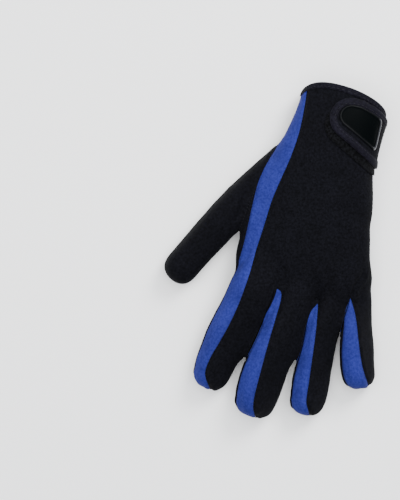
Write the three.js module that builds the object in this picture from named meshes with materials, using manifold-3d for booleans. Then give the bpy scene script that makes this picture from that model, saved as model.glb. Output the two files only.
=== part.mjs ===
// A five-finger diving glove for the left hand, empty, lying palm down.
// Millimetres, +Z up. The origin is on the surface that the palm rests on, fingers point to -Y
// and the cuff to +Y. The thumb and the index finger are on the -X side.
import * as THREE from "three";
import { mergeVertices } from "three/addons/utils/BufferGeometryUtils.js";
import Module from "manifold-3d";

const wasm = await Module();
wasm.setup();

// Driving dimensions, millimetres.
const cloth = 2.0; // wall of the foam cloth
const seamGap = 0.3; // clearance between neighbouring pieces
const flattening = 0.9; // how far the weight presses the round form onto the surface
const crotchReach = 40; // origin to the finger crotches
const cuffReach = 98; // origin to the two corners of the cuff
const cuffCrown = 12.5; // how far the cuff's edge stands past its corners on the back
const cuffCrownShift = 0.22; // how far its crest lies towards the thumb, share of the half width
const cuffSlant = 3.2; // how much further the thumb-side corner reaches than the other one
const cuffArch = 2.2; // squareness of the cuff's edge in plan
const palmWidth = 98;
const palmDepth = 34;
const cuffWidth = 63;
const cuffDepth = 38;

const cuffTapeWidth = 3.8; // folded tape round the cuff's edge
const cuffTapeRise = 0.6; // how far that tape stands out of the cloth, outside and inside

const loopPatchThickness = 1; // fuzzy patch sewn on the back of the wrist
const loopPatchShiftX = -2.2; // how far it lies off the strap's tab, so that a crescent shows
const loopPatchShiftY = -5.2;
const strapThickness = 1.6;
const strapTabRadius = 12.8; // round end of the strap's tab
const strapTabX = 10.4; // centre of that round end
const strapTabY = 90.6;
const strapSlope = THREE.MathUtils.degToRad(-36); // run of the strap's lower edge
const strapTopMargin = 1.3; // between the cuff tape and the strap
const strapCornerAngle = THREE.MathUtils.degToRad(82); // where the round end meets the upper edge
const strapCornerRun = 3; // length of that meeting, along the upper edge
const strapTapeWidth = 4.8; // tape sewn round the strap's edge
const strapTapeRise = 0.4;
const badgeMargin = 1.3; // between that tape and the moulded badge
const badgeThickness = 0.9;
const strapFootHeight = 11; // where the strap is sewn to the wrist's outer side
const patchFootHeight = 19;
const badgeFootHeight = 23;

// Fingers. root is the place of the axis at the crotch line, across the hand. lean turns the
// finger towards the thumb. roll turns its section so that the side strip shows from above.
const fingers = [
  { name: "index", root: -27, start: 0, length: 78, rootWidth: 36.5, tipWidth: 26, lean: 14.5, roll: 28 },
  { name: "middle", root: 3.4, start: 0, length: 90, rootWidth: 28.8, tipWidth: 29.8, lean: 8.8, roll: 38 },
  { name: "ring", root: 27, start: 0, length: 79.5, rootWidth: 23, tipWidth: 26.8, lean: 0.4, roll: 36 },
  { name: "little", root: 46.4, start: 4, length: 59, rootWidth: 19.4, tipWidth: 24.2, lean: -12.6, roll: 48 },
];
const fingerBreadth = 0.98; // half width of a finger's section, to half the width in plan
const fingerThickness = 0.8; // half depth of a finger's section, to half the width in plan
const taperEnd = 0.85; // share of a finger's length where its width is tipWidth
const fingerTipReach = 12; // length of the blunt round end
const fingerSink = 0.4; // share of its length in which a finger's axis sinks to the palm's
const fingerSides = 14; // faces round the outside
const fingerSidesInside = 10;
const fingerSquareness = 2.7;
const leastHalfSize = 0.4; // smallest half width and half depth of a section

// Thumb, whose root is a place on the palm's side.
const thumb = { x: -45, y: 27, length: 84, width: 25, depth: 23, lean: 30, roll: 20 };
const thumbTipReach = 13;

// Side strips. The two seams of a strip are where it meets the back and the palm.
const backSeamShare = 0.8; // height of the back seam in a finger, share of its half depth
const palmSeamShare = -0.38; // height of the palm seam, share of the same
const seamSpread = 1.04; // where a strip's seams are set out, share of a finger's half width
const outerStripShare = 0.42; // inner edge of the two outer strips, share of the palm's half width
const seamTurnStart = 0.232; // where the seams begin to turn into the fingers, along the palm
const seamTurnRun = 0.275; // length of that turn, share of the palm's length
const seamWidthStart = 0.08; // nearest place to the fingers where they follow the palm's width

// Sections of the palm and wrist. along: share of the length from the crotch line to the
// cuff's corners. middle: share of palmWidth. width: 0 is the cuff's, 1 is the palm's.
// depth: 0 is the cuff's, 1 is the palm's. Past 1 it gets thinner towards the fingers.
const palmSections = [
  { along: 0.015, middle: 0.045, width: 0.8, depth: 5 },
  { along: 0.06, middle: 0.043, width: 0.92, depth: 3.2 },
  { along: 0.15, middle: 0.03, width: 0.97, depth: 1.9 },
  { along: 0.29, middle: 0.009, width: 0.84, depth: 1.1 },
  { along: 0.435, middle: -0.004, width: 0.69, depth: 0.7 },
  { along: 0.58, middle: -0.001, width: 0.49, depth: 0.5 },
  { along: 0.7, middle: 0.012, width: 0.25, depth: 0.35 },
  { along: 0.82, middle: 0.03, width: 0.06, depth: 0.2 },
  { along: 1, middle: 0.064, width: 0, depth: 0 },
  { along: 1.16, middle: 0.072, width: 0, depth: 0 },
];

// Seams of the side strips where they run along the palm. Each column is the seam's height
// over the palm's middle, share of the palm's half depth, at the hand's thumb-side edge and
// at its little-finger edge. along is as in the palm's sections.
const seamSections = [
  { along: 0.1, thumbBack: 0.94, thumbPalm: 0.46, littleBack: -0.5, littlePalm: -0.95 },
  { along: 0.36, thumbBack: 0.98, thumbPalm: 0.48, littleBack: -0.5, littlePalm: -0.95 },
  { along: 0.46, thumbBack: 1.03, thumbPalm: 0.38, littleBack: -0.5, littlePalm: -0.95 },
  { along: 0.55, thumbBack: 1.09, thumbPalm: 0.16, littleBack: -0.5, littlePalm: -0.92 },
  { along: 0.66, thumbBack: 1.1, thumbPalm: 0.12, littleBack: -0.46, littlePalm: -0.88 },
  { along: 0.8, thumbBack: 0.95, thumbPalm: 0.02, littleBack: -0.4, littlePalm: -0.84 },
  { along: 1, thumbBack: 0.64, thumbPalm: -0.24, littleBack: -0.34, littlePalm: -0.8 },
];

// Sections of a finger. along: share of its length from the crotch line, negative inside the
// palm. size: share of its width. turn: share of its roll. rise: share of its width that it
// stands off the surface.
const fingerSections = [
  { along: -0.42, size: 0.78, turn: 0.15, rise: 0 },
  { along: -0.16, size: 0.98, turn: 0.5, rise: 0.1 },
  { along: 0.04, size: 1, turn: 0.85, rise: 0.11 },
  { along: 0.26, size: 1, turn: 1, rise: 0.08 },
  { along: 0.48, size: 1.01, turn: 1, rise: 0.05 },
  { along: 0.7, size: 0.99, turn: 1, rise: 0 },
];

// Sections of the thumb. width and depth: shares of its own. lift: height of its axis as a
// share of the palm's half depth. shift: share of its width towards the fingers' side.
const thumbSections = [
  { along: -0.48, width: 0.64, depth: 0.64, lift: 0.92, shift: 0.05 },
  { along: -0.22, width: 0.82, depth: 0.82, lift: 0.84, shift: 0.02 },
  { along: 0.06, width: 0.97, depth: 0.98, lift: 0.77, shift: 0 },
  { along: 0.36, width: 1, depth: 1, lift: 0.71, shift: 0 },
  { along: 0.7, width: 0.97, depth: 0.98, lift: 0.65, shift: 0 },
];

// Round ends: how far along the end, and the share of the section that is left there.
const roundEnd = [
  { reach: 0, size: 1 },
  { reach: 0.42, size: 0.95 },
  { reach: 0.72, size: 0.77 },
  { reach: 0.92, size: 0.48 },
  { reach: 1, size: 0.16 },
];

// Rows across the hand where the seams are set out: shares of the palm's length from the
// crotch line to the cuff, then shares of the longest finger's length from that line.
const palmGrid = [1.23, 1, 0.77, 0.595, 0.464, 0.232, 0.116, 0.058, 0.015];
const fingerGrid = [0.067, 0.333, 0.667, 1.11];

const palmSides = 32;
const palmSidesInside = 24;
const palmSquareness = 2.35;
const cuffSteps = 18; // points along the cuff's edge
const strapEndSteps = 12; // points round the strap's end
const strapEdgeSteps = 6; // points along its upper edge
const far = 300; // past every piece, for cutting solids
const rad = THREE.MathUtils.degToRad;
const palmLength = crotchReach + cuffReach;
const palmAxisHeight = palmDepth / 2 - flattening;

// Geometry helpers.
function smooth(t) {
  const s = Math.min(Math.max(t, 0), 1);
  return s * s * (3 - 2 * s);
}

function mix(a, b, t) {
  return a + (b - a) * t;
}

// Value of a column of a table at a place along it.
function along(rows, column, t) {
  const next = rows.findIndex((row) => row.along >= t);
  if (next === 0) return rows[0][column];
  if (next < 0) return rows.at(-1)[column];
  const [a, b] = [rows[next - 1], rows[next]];
  return mix(a[column], b[column], (t - a.along) / (b.along - a.along));
}

function solidOf(geometry) {
  const bare = geometry.index ? geometry.toNonIndexed() : geometry.clone();
  for (const name of Object.keys(bare.attributes)) {
    if (name !== "position") bare.deleteAttribute(name);
  }
  const merged = mergeVertices(bare, 1e-4);
  return new wasm.Manifold(
    new wasm.Mesh({
      numProp: 3,
      vertProperties: merged.attributes.position.array,
      triVerts: new Uint32Array(merged.index.array),
    }),
  );
}

// A closed solid from shared points and triangles, turned so that its faces point outwards.
function closedSolid(points, triangles) {
  let volume = 0;
  for (const [a, b, c] of triangles) {
    volume += points[a].dot(new THREE.Vector3().crossVectors(points[b], points[c]));
  }
  const faces = volume < 0 ? triangles.map(([a, b, c]) => [a, c, b]) : triangles;
  return new wasm.Manifold(
    new wasm.Mesh({
      numProp: 3,
      vertProperties: new Float32Array(points.flatMap((p) => [p.x, p.y, p.z])),
      triVerts: new Uint32Array(faces.flat()),
    }),
  );
}

// A solid through rings of equally many points, with flat ends.
function loft(rings) {
  const sides = rings[0].length;
  const points = rings.flat();
  const triangles = [];
  for (let r = 0; r + 1 < rings.length; r += 1) {
    for (let i = 0; i < sides; i += 1) {
      const [a, b] = [r * sides + i, r * sides + ((i + 1) % sides)];
      triangles.push([a, b, a + sides], [b, b + sides, a + sides]);
    }
  }
  for (const [ring, flip] of [[0, false], [rings.length - 1, true]]) {
    const centre = points.length;
    const sum = rings[ring].reduce((total, p) => total.add(p), new THREE.Vector3());
    points.push(sum.divideScalar(sides));
    for (let i = 0; i < sides; i += 1) {
      const [a, b] = [ring * sides + i, ring * sides + ((i + 1) % sides)];
      triangles.push(flip ? [a, b, centre] : [b, a, centre]);
    }
  }
  return closedSolid(points, triangles);
}

// Points of a rounded rectangular section as [across, up], turned by roll.
function section(halfWidth, halfDepth, roll, squareness, sides) {
  const ring = [];
  for (let i = 0; i < sides; i += 1) {
    const angle = ((i + 0.5) / sides) * 2 * Math.PI;
    const [c, s] = [Math.cos(angle), Math.sin(angle)];
    const u = halfWidth * Math.sign(c) * Math.abs(c) ** (2 / squareness);
    const w = halfDepth * Math.sign(s) * Math.abs(s) ** (2 / squareness);
    ring.push([u * Math.cos(roll) + w * Math.sin(roll), w * Math.cos(roll) - u * Math.sin(roll)]);
  }
  return ring;
}

// Half height of such a section.
function halfHeight(halfWidth, halfDepth, roll, squareness) {
  const q = squareness / (squareness - 1);
  const [a, b] = [Math.abs(halfWidth * Math.sin(roll)), Math.abs(halfDepth * Math.cos(roll))];
  return (a ** q + b ** q) ** (1 / q);
}

function block(x, y, z) {
  const size = [x[1] - x[0], y[1] - y[0], z[1] - z[0]];
  const box = new THREE.BoxGeometry(...size);
  box.translate((x[0] + x[1]) / 2, (y[0] + y[1]) / 2, (z[0] + z[1]) / 2);
  return solidOf(box);
}

// A plan outline raised from one height to another.
function prism(outline, low, high) {
  const shape = new THREE.Shape(outline.map(([x, y]) => new THREE.Vector2(x, y)));
  const geometry = new THREE.ExtrudeGeometry(shape, { depth: high - low, bevelEnabled: false });
  geometry.translate(0, 0, low);
  return solidOf(geometry);
}

function below(height) {
  return block([-far, far], [-far, far], [-far, height]);
}

// Palm and wrist.
function palmRow(t) {
  return {
    y: t * palmLength - crotchReach,
    middle: along(palmSections, "middle", t) * palmWidth,
    halfWidth: mix(cuffWidth, palmWidth, along(palmSections, "width", t)) / 2,
    halfDepth: mix(cuffDepth, palmDepth, along(palmSections, "depth", t)) / 2,
  };
}

// The palm and wrist as a solid, swollen by offset, or shrunk where offset is negative.
function palmTube(offset) {
  const rows = palmSections.map((row) => palmRow(row.along));
  rows[0].y -= offset;
  const rings = rows.map((row) => {
    const width = row.halfWidth + offset;
    const depth = row.halfDepth + offset;
    const sides = offset < 0 ? palmSidesInside : palmSides;
    return section(width, depth, 0, palmSquareness, sides).map(
      ([u, w]) => new THREE.Vector3(row.middle + u, row.y, row.halfDepth - flattening + w),
    );
  });
  return loft(rings);
}

// Fingers.
function fingerFrame(finger, t) {
  const width = mix(finger.rootWidth, finger.tipWidth, Math.min(Math.max(t / taperEnd, 0), 1));
  const size = along(fingerSections, "size", t) * width;
  const turn = along(fingerSections, "turn", t);
  const roll = rad(finger.roll) * turn;
  const halfWidth = (size / 2) * fingerBreadth;
  const halfDepth = (size / 2) * fingerThickness;
  const rest = halfHeight(halfWidth, halfDepth, roll, fingerSquareness) - flattening;
  const raised = rest + along(fingerSections, "rise", t) * width;
  const inside = smooth(-t / fingerSink);
  const lean = rad(finger.lean);
  const reach = t * finger.length;
  return {
    x: finger.root - Math.sin(lean) * reach,
    y: finger.start - crotchReach - Math.cos(lean) * reach,
    z: mix(raised, palmAxisHeight, inside),
    lean,
    roll,
    halfWidth,
    halfDepth,
  };
}

// A ring of points in the upright plane across a finger or the thumb.
function fingerRing(frame, scale, inset) {
  const width = Math.max(frame.halfWidth * scale - inset, leastHalfSize);
  const depth = Math.max(frame.halfDepth * scale - inset, leastHalfSize);
  const sides = inset > 0 ? fingerSidesInside : fingerSides;
  return section(width, depth, frame.roll, fingerSquareness, sides).map(
    ([u, w]) => new THREE.Vector3(
      frame.x + u * Math.cos(frame.lean),
      frame.y - u * Math.sin(frame.lean),
      frame.z + w,
    ),
  );
}

// A finger or the thumb as a solid, shrunk by inset, from its frames along its length.
function digitTube(frameAt, shares, length, tipReach, inset) {
  const rings = shares.map((t) => fingerRing(frameAt(t), 1, inset));
  const tipStart = 1 - tipReach / length;
  const tipEnd = 1 - inset / length;
  for (const row of roundEnd) {
    const t = mix(tipStart, tipEnd, row.reach);
    rings.push(fingerRing(frameAt(t), row.size, inset * row.size));
  }
  return loft(rings);
}

function fingerTube(finger, inset) {
  const shares = fingerSections.map((row) => row.along);
  return digitTube((t) => fingerFrame(finger, t), shares, finger.length, fingerTipReach, inset);
}

function thumbFrame(t) {
  const lean = rad(thumb.lean);
  const reach = t * thumb.length;
  const shift = along(thumbSections, "shift", t) * thumb.width;
  return {
    x: thumb.x - Math.sin(lean) * reach + Math.cos(lean) * shift,
    y: thumb.y - Math.cos(lean) * reach - Math.sin(lean) * shift,
    z: along(thumbSections, "lift", t) * palmAxisHeight,
    lean,
    roll: rad(thumb.roll),
    halfWidth: (along(thumbSections, "width", t) * thumb.width) / 2,
    halfDepth: (along(thumbSections, "depth", t) * thumb.depth) / 2,
  };
}

function thumbTube(inset) {
  const shares = thumbSections.map((row) => row.along);
  return digitTube(thumbFrame, shares, thumb.length, thumbTipReach, inset);
}

// The cuff's edge in plan, moved by a distance along the wrist. It is an arch.
function cuffEdgeY(x, shift) {
  const across = (x - palmRow(1).middle) / (cuffWidth / 2);
  const skewed = across + cuffCrownShift * Math.max(1 - across * across, 0);
  const rise = Math.max(1 - Math.abs(skewed) ** cuffArch, 0) ** (1 / cuffArch);
  return cuffReach + cuffCrown * rise - (cuffSlant / 2) * across + shift;
}

function cuffOutline(shift) {
  const middle = palmRow(1).middle;
  const outline = [];
  for (let i = 0; i <= cuffSteps; i += 1) {
    const x = middle + (cuffWidth / 2) * Math.cos((Math.PI * i) / cuffSteps);
    outline.push([x, cuffEdgeY(x, shift)]);
  }
  outline.unshift([far, outline[0][1]]);
  outline.push([-far, outline.at(-1)[1]], [-far, far], [far, far]);
  return outline;
}

function pastCuff(shift) {
  return prism(cuffOutline(shift), -far, far);
}

// Strap. Its tab has a round end, an upper edge along the cuff and a straight lower edge.
function strapOutline(inset) {
  const radius = strapTabRadius - inset;
  const outline = [];
  const turn = strapSlope + (3 * Math.PI) / 2 - strapCornerAngle;
  for (let i = 0; i <= strapEndSteps; i += 1) {
    const angle = strapCornerAngle + (turn * i) / strapEndSteps;
    outline.push([strapTabX + radius * Math.cos(angle), strapTabY + radius * Math.sin(angle)]);
  }
  const low = outline.at(-1);
  const side = palmRow(1).middle + cuffWidth;
  outline.push([side, low[1] + Math.tan(strapSlope) * (side - low[0])]);
  const drop = -(cuffTapeWidth + strapTopMargin + inset);
  const upperEnd = outline[0][0] + strapCornerRun;
  for (let i = 0; i <= strapEdgeSteps; i += 1) {
    const x = mix(side, upperEnd, i / strapEdgeSteps);
    outline.push([x, cuffEdgeY(x, drop)]);
  }
  return outline;
}

// The layer of a shell round the wrist between two offsets.
function wristLayer(inner, outer) {
  return palmTube(outer).subtract(palmTube(inner));
}

// Seams between the back, the side strips and the palm.
const longest = Math.max(...fingers.map((finger) => finger.length));
const gridRows = [
  ...palmGrid.map((share) => share * palmLength - crotchReach),
  ...fingerGrid.map((share) => -share * longest - crotchReach),
];

// Where a seam column crosses the palm, -1 at the thumb side and 1 at the little-finger side.
// Both outer strips lie past the first and the last finger's axis.
function palmShare(column) {
  const last = fingers.length * 3 - 1;
  if (column === 0) return -1;
  if (column === last) return 1;
  return mix(-outerStripShare, outerStripShare, (column - 1) / (last - 2));
}

// Heights of both seams at one place along the hand, as columns across it: each finger's near
// side, axis and far side.
function seamColumns(y) {
  const share = (y + crotchReach) / palmLength;
  const palm = palmRow(Math.max(share, seamWidthStart));
  const seam = {};
  for (const name of ["thumbBack", "thumbPalm", "littleBack", "littlePalm"]) {
    seam[name] = along(seamSections, name, share);
  }
  const blend = smooth((seamTurnStart - share) / seamTurnRun);
  const columns = [];
  fingers.forEach((finger, i) => {
    const lean = rad(finger.lean);
    const rootY = finger.start - crotchReach;
    const reach = (rootY - y) / Math.cos(lean);
    const t = Math.min(Math.max(reach / finger.length, 0), 1);
    const frame = fingerFrame(finger, t);
    const half = (mix(finger.rootWidth, finger.tipWidth, t) / 2) * seamSpread;
    const centreX = finger.root - Math.tan(lean) * (rootY - y);
    const halfX = half / Math.cos(lean);
    const upright = frame.halfDepth / Math.cos(frame.roll);
    for (const side of [-1, 0, 1]) {
      const place = palmShare(3 * i + 1 + side);
      const across = (place + 1) / 2;
      const x = mix(palm.middle + place * palm.halfWidth, centreX + side * halfX, blend);
      const fingerZ = frame.z - Math.tan(frame.roll) * side * half;
      const palmBack = palmAxisHeight + mix(seam.thumbBack, seam.littleBack, across) * (palmDepth / 2);
      const palmFront = palmAxisHeight + mix(seam.thumbPalm, seam.littlePalm, across) * (palmDepth / 2);
      columns.push({
        x,
        back: mix(palmBack, fingerZ + backSeamShare * upright, blend),
        palm: mix(palmFront, fingerZ + palmSeamShare * upright, blend),
      });
    }
  });
  const least = 2 * seamGap;
  for (let i = 2; i + 1 < columns.length; i += 3) {
    const [a, b] = [columns[i], columns[i + 1]];
    if (b.x - a.x < least) {
      const centre = (a.x + b.x) / 2;
      a.x = centre - least / 2;
      b.x = centre + least / 2;
    }
  }
  return columns;
}

// The solid between two heights, over some of the seam columns.
// low and high give a height from a column.
function seamSolid(low, high, from, to, trim) {
  const table = gridRows.map((y) => {
    const columns = seamColumns(y);
    const edge = { ...columns[0], x: -far };
    const lastEdge = { ...columns.at(-1), x: far };
    return { y, columns: [edge, ...columns, lastEdge].slice(from, to + 1) };
  });
  const wide = to - from + 1;
  const points = [];
  for (const height of [low, high]) {
    for (const { y, columns } of table) {
      columns.forEach((column, i) => {
        const inward = (i === 0 ? trim : 0) - (i === wide - 1 ? trim : 0);
        points.push(new THREE.Vector3(column.x + inward, y, height(column)));
      });
    }
  }
  const layer = table.length * wide;
  const triangles = [];
  const quad = (a, b, c, d) => triangles.push([a, b, c], [a, c, d]);
  for (let r = 0; r + 1 < table.length; r += 1) {
    for (let i = 0; i + 1 < wide; i += 1) {
      const a = r * wide + i;
      quad(a, a + 1, a + 1 + wide, a + wide);
      quad(a + layer, a + wide + layer, a + 1 + wide + layer, a + 1 + layer);
    }
    for (const [i, flip] of [[0, false], [wide - 1, true]]) {
      const [a, b] = [r * wide + i, (r + 1) * wide + i];
      if (flip) quad(a, a + layer, b + layer, b);
      else quad(a, b, b + layer, a + layer);
    }
  }
  for (const [r, flip] of [[0, true], [table.length - 1, false]]) {
    for (let i = 0; i + 1 < wide; i += 1) {
      const [a, b] = [r * wide + i, r * wide + i + 1];
      if (flip) quad(a, a + layer, b + layer, b);
      else quad(a, b, b + layer, a + layer);
    }
  }
  return closedSolid(points, triangles);
}

const backSeam = (column) => column.back;
const palmSeam = (column) => column.palm;
const lastColumn = fingers.length * 3 + 1;

// The whole hand's shell.
function union(solids) {
  return solids.reduce((all, solid) => all.add(solid));
}

const palmOuter = palmTube(0);
const handOuter = union([palmOuter, ...fingers.map((finger) => fingerTube(finger, 0))]);
const hollow = union([
  palmTube(-cloth),
  ...fingers.map((finger) => fingerTube(finger, cloth)),
  thumbTube(cloth),
]).subtract(below(cloth));
const panelEnd = pastCuff(-cuffTapeWidth - seamGap);
const hand = handOuter.subtract(hollow).subtract(below(0)).subtract(panelEnd);

const above = seamSolid((c) => backSeam(c) + seamGap / 2, () => far, 0, lastColumn, 0);
const under = seamSolid(() => -far, (c) => palmSeam(c) - seamGap / 2, 0, lastColumn, 0);

// A side strip, from one finger's axis to the next one's, over both their sides and tips.
function sideStrip(from, to) {
  const band = seamSolid(
    (c) => palmSeam(c) + seamGap / 2,
    (c) => backSeam(c) - seamGap / 2,
    from,
    to,
    seamGap / 2,
  );
  return hand.intersect(band);
}

function cuffTape() {
  const outer = palmTube(cuffTapeRise).subtract(below(0));
  const inner = palmTube(-cloth - cuffTapeRise).subtract(below(cloth + cuffTapeRise));
  const ring = outer.subtract(inner);
  return ring.subtract(pastCuff(0)).intersect(pastCuff(-cuffTapeWidth));
}

const patchTop = seamGap + loopPatchThickness;
const strapBase = patchTop + seamGap;
const strapTop = strapBase + strapThickness;

function loopPatch() {
  const outline = strapOutline(0).map(([x, y]) => [x + loopPatchShiftX, y + loopPatchShiftY]);
  const plan = prism(outline, patchFootHeight, far);
  return wristLayer(seamGap, patchTop).intersect(plan).subtract(pastCuff(-cuffTapeWidth - seamGap));
}

function strap() {
  const plan = prism(strapOutline(strapTapeWidth + seamGap), strapFootHeight, far);
  return wristLayer(strapBase, strapTop).intersect(plan);
}

function strapTape() {
  const plan = prism(strapOutline(0), strapFootHeight, far);
  const window = prism(strapOutline(strapTapeWidth), -far, far);
  return wristLayer(strapBase, strapTop + strapTapeRise).intersect(plan).subtract(window);
}

function badge() {
  const plan = prism(strapOutline(strapTapeWidth + badgeMargin), badgeFootHeight, far);
  const base = strapTop + seamGap;
  return wristLayer(base, base + badgeThickness).intersect(plan);
}

function thumbPiece() {
  const outer = thumbTube(0).subtract(palmTube(seamGap)).subtract(below(0));
  return outer
    .subtract(union(fingers.map((finger) => fingerTube(finger, -seamGap))))
    .subtract(thumbTube(cloth).subtract(below(cloth)));
}

// Materials: colour, roughness.
const black = { color: 0x17191e, roughness: 0.85 };
const blue = { color: 0x2f55a8, roughness: 0.85 };
const tape = { color: 0x2a2833, roughness: 0.7 };
const fuzz = { color: 0x1b1d20, roughness: 0.95 };
const rubber = { color: 0x10201c, roughness: 0.35 };

const glove = new THREE.Group();

// The largest connected body of a cut solid, without the crumbs that crossing seams leave.
function mainBody(made) {
  const corners = made.vertProperties;
  const faces = made.triVerts;
  const leader = Array.from({ length: corners.length / 3 }, (_, i) => i);
  const find = (i) => {
    let top = i;
    while (leader[top] !== top) top = leader[top];
    leader[i] = top;
    return top;
  };
  for (let i = 0; i < faces.length; i += 3) {
    leader[find(faces[i + 1])] = find(faces[i]);
    leader[find(faces[i + 2])] = find(faces[i]);
  }
  const count = new Map();
  faces.forEach((corner) => count.set(find(corner), (count.get(find(corner)) ?? 0) + 1));
  const most = Math.max(...count.values());
  const kept = faces.filter((corner) => count.get(find(corner)) === most);
  const geometry = new THREE.BufferGeometry();
  geometry.setAttribute("position", new THREE.BufferAttribute(corners, 3));
  geometry.setIndex(new THREE.BufferAttribute(kept, 1));
  return mergeVertices(geometry.toNonIndexed(), 1e-5);
}

function add(name, solid, finish) {
  const geometry = mainBody(solid.getMesh());
  geometry.computeVertexNormals();
  const mesh = new THREE.Mesh(geometry, new THREE.MeshStandardMaterial({ metalness: 0, ...finish }));
  mesh.name = name;
  glove.add(mesh);
}

add("back_panel", hand.intersect(above), black);
add("palm_panel", hand.intersect(under), black);
add("thumb_panel", thumbPiece(), black);
add("index_side_strip", sideStrip(0, 2), blue);
add("fourchette_index_middle", sideStrip(2, 5), blue);
add("fourchette_middle_ring", sideStrip(5, 8), blue);
add("fourchette_ring_little", sideStrip(8, 11), blue);
add("little_side_strip", sideStrip(11, lastColumn), blue);
add("cuff_tape", cuffTape(), tape);
add("loop_patch", loopPatch(), fuzz);
add("wrist_strap", strap(), black);
add("strap_tape", strapTape(), tape);
add("strap_badge", badge(), rubber);

export default glove;
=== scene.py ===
import math

import bpy
import numpy as np
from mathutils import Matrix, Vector, kdtree, noise


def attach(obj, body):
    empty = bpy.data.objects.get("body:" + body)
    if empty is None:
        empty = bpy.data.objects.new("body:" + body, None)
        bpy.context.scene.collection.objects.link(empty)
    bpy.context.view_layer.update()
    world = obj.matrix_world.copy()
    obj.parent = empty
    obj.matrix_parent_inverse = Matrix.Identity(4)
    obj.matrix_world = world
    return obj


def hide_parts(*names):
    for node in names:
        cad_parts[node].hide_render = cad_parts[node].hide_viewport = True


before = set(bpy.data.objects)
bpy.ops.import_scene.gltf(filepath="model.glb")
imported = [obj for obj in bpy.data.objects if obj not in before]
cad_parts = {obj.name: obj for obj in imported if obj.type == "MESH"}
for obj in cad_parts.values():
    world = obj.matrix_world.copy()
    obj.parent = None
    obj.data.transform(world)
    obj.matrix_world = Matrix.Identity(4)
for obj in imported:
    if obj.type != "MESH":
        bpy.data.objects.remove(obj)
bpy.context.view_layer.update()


def table(columns, *rows):
    """Rows of values, each under its column's name."""
    return [dict(zip(columns.split(), row)) for row in rows]


# Sizes of the glove in millimetres, most of them the same as its solids have. The meshes are
# in metres. Along the glove, y runs from the finger tips to the cuff.
MM = 0.001
CLOTH = 2.0
FLATTENING = 0.9
CROTCH_REACH = 40.0
CUFF_REACH = 98.0
CUFF_CROWN = 12.5
CUFF_CROWN_SHIFT = 0.22
CUFF_SLANT = 3.2
CUFF_ARCH = 2.2
PALM_WIDTH = 98.0
PALM_DEPTH = 34.0
CUFF_WIDTH = 63.0
CUFF_DEPTH = 38.0
PALM_LENGTH = CROTCH_REACH + CUFF_REACH
PALM_AXIS_HEIGHT = PALM_DEPTH / 2 - FLATTENING
PALM_SQUARENESS = 2.35
FINGER_SQUARENESS = 2.7
CUFF_TAPE_WIDTH = 4.0
SEAM_GAP = 0.16
FAR = 300.0

FINGERS = table(
    "name root start length root_width tip_width lean roll",
    ("index", -27, 0, 78, 36.5, 26, 14.5, 28),
    ("middle", 3.4, 0, 90, 28.8, 29.8, 8.8, 38),
    ("ring", 27, 0, 79.5, 23, 26.8, 0.4, 36),
    ("little", 46.4, 4, 59, 19.4, 24.2, -12.6, 48),
)
FINGER_BREADTH = 0.98
FINGER_THICKNESS = 0.8
TAPER_END = 0.85
FINGER_TIP_REACH = 12.0
FINGER_SINK = 0.4
THUMB = dict(x=-45, y=27, length=84, width=25, depth=23, lean=30, roll=20)
THUMB_TIP_REACH = 13.0
# Heights of the finger seams at the near side, the axis and the far side, shares of half depth.
BACK_SEAM_SHARES = (0.0, -0.12, -0.28)
CROTCH_DROP = 7.0
PALM_SEAM_SHARES = (-0.38, -0.5, -0.72)

# Sections of the palm and wrist, from the crotch line to past the cuff.
PALM_SECTIONS = table(
    "along middle width depth",
    (0.015, 0.045, 0.8, 5),
    (0.06, 0.05, 0.95, 3.2),
    (0.15, 0.038, 1.0, 1.9),
    (0.29, 0.009, 0.84, 1.1),
    (0.435, -0.004, 0.69, 0.7),
    (0.58, 0.002, 0.5, 0.5),
    (0.7, 0.012, 0.25, 0.35),
    (0.82, 0.037, 0.02, 0.2),
    (1, 0.0665, -0.065, 0),
    (1.16, 0.074, -0.065, 0),
)
# Heights of the four long seams over the palm's middle, shares of its half depth.
SEAM_SECTIONS = table(
    "along thumb_back thumb_palm little_back little_palm",
    (0.1, 0.6, 0.1, -0.5, -0.95),
    (0.36, 0.6, 0.1, -0.5, -0.95),
    (0.55, 0.6, 0.06, -0.5, -0.92),
    (0.66, 0.6, 0.02, -0.46, -0.88),
    (0.8, 0.55, -0.08, -0.4, -0.84),
    (1, 0.45, -0.24, -0.34, -0.8),
)
# Where the blue side strips show from above: their edges in plan, towards the little finger.
STRIP_EDGES = {
    "index": [
        (-22.0, 125), (-20.7, 103), (-20.0, 88), (-20.2, 72), (-22.4, 54.5), (-26.0, 37.5),
        (-28.8, 22.6), (-30.4, 5), (-32.1, -12), (-33.4, -30), (-36.3, -51.5), (-39.9, -67.8),
        (-43.8, -81), (-47.3, -91.5), (-49.1, -100.5), (-48.6, -106.5), (-44.8, -113),
        (-40.5, -119), (-38, -126),
    ],
    "middle": [
        (-12.3, -36.2), (-9.0, -38.2), (-8.1, -44), (-9.2, -58), (-10.6, -75), (-11.6, -95),
        (-12.2, -112), (-11.4, -120.7), (-9.3, -125.6), (-6, -131), (-4, -137),
    ],
    "ring": [
        (18.2, -40.4), (19.1, -47), (20.6, -61), (22.0, -79), (23.1, -95), (23.9, -107.5),
        (25.4, -112.4), (28.4, -117.4), (31, -122), (33, -128),
    ],
    "little": [
        (39.6, -32.0), (43.4, -38.8), (46.6, -46.6), (49.8, -56.4), (53.4, -67), (56.8, -75.4),
        (60.4, -82.4), (64.4, -88.2), (68, -93), (71, -98),
    ],
}
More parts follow.
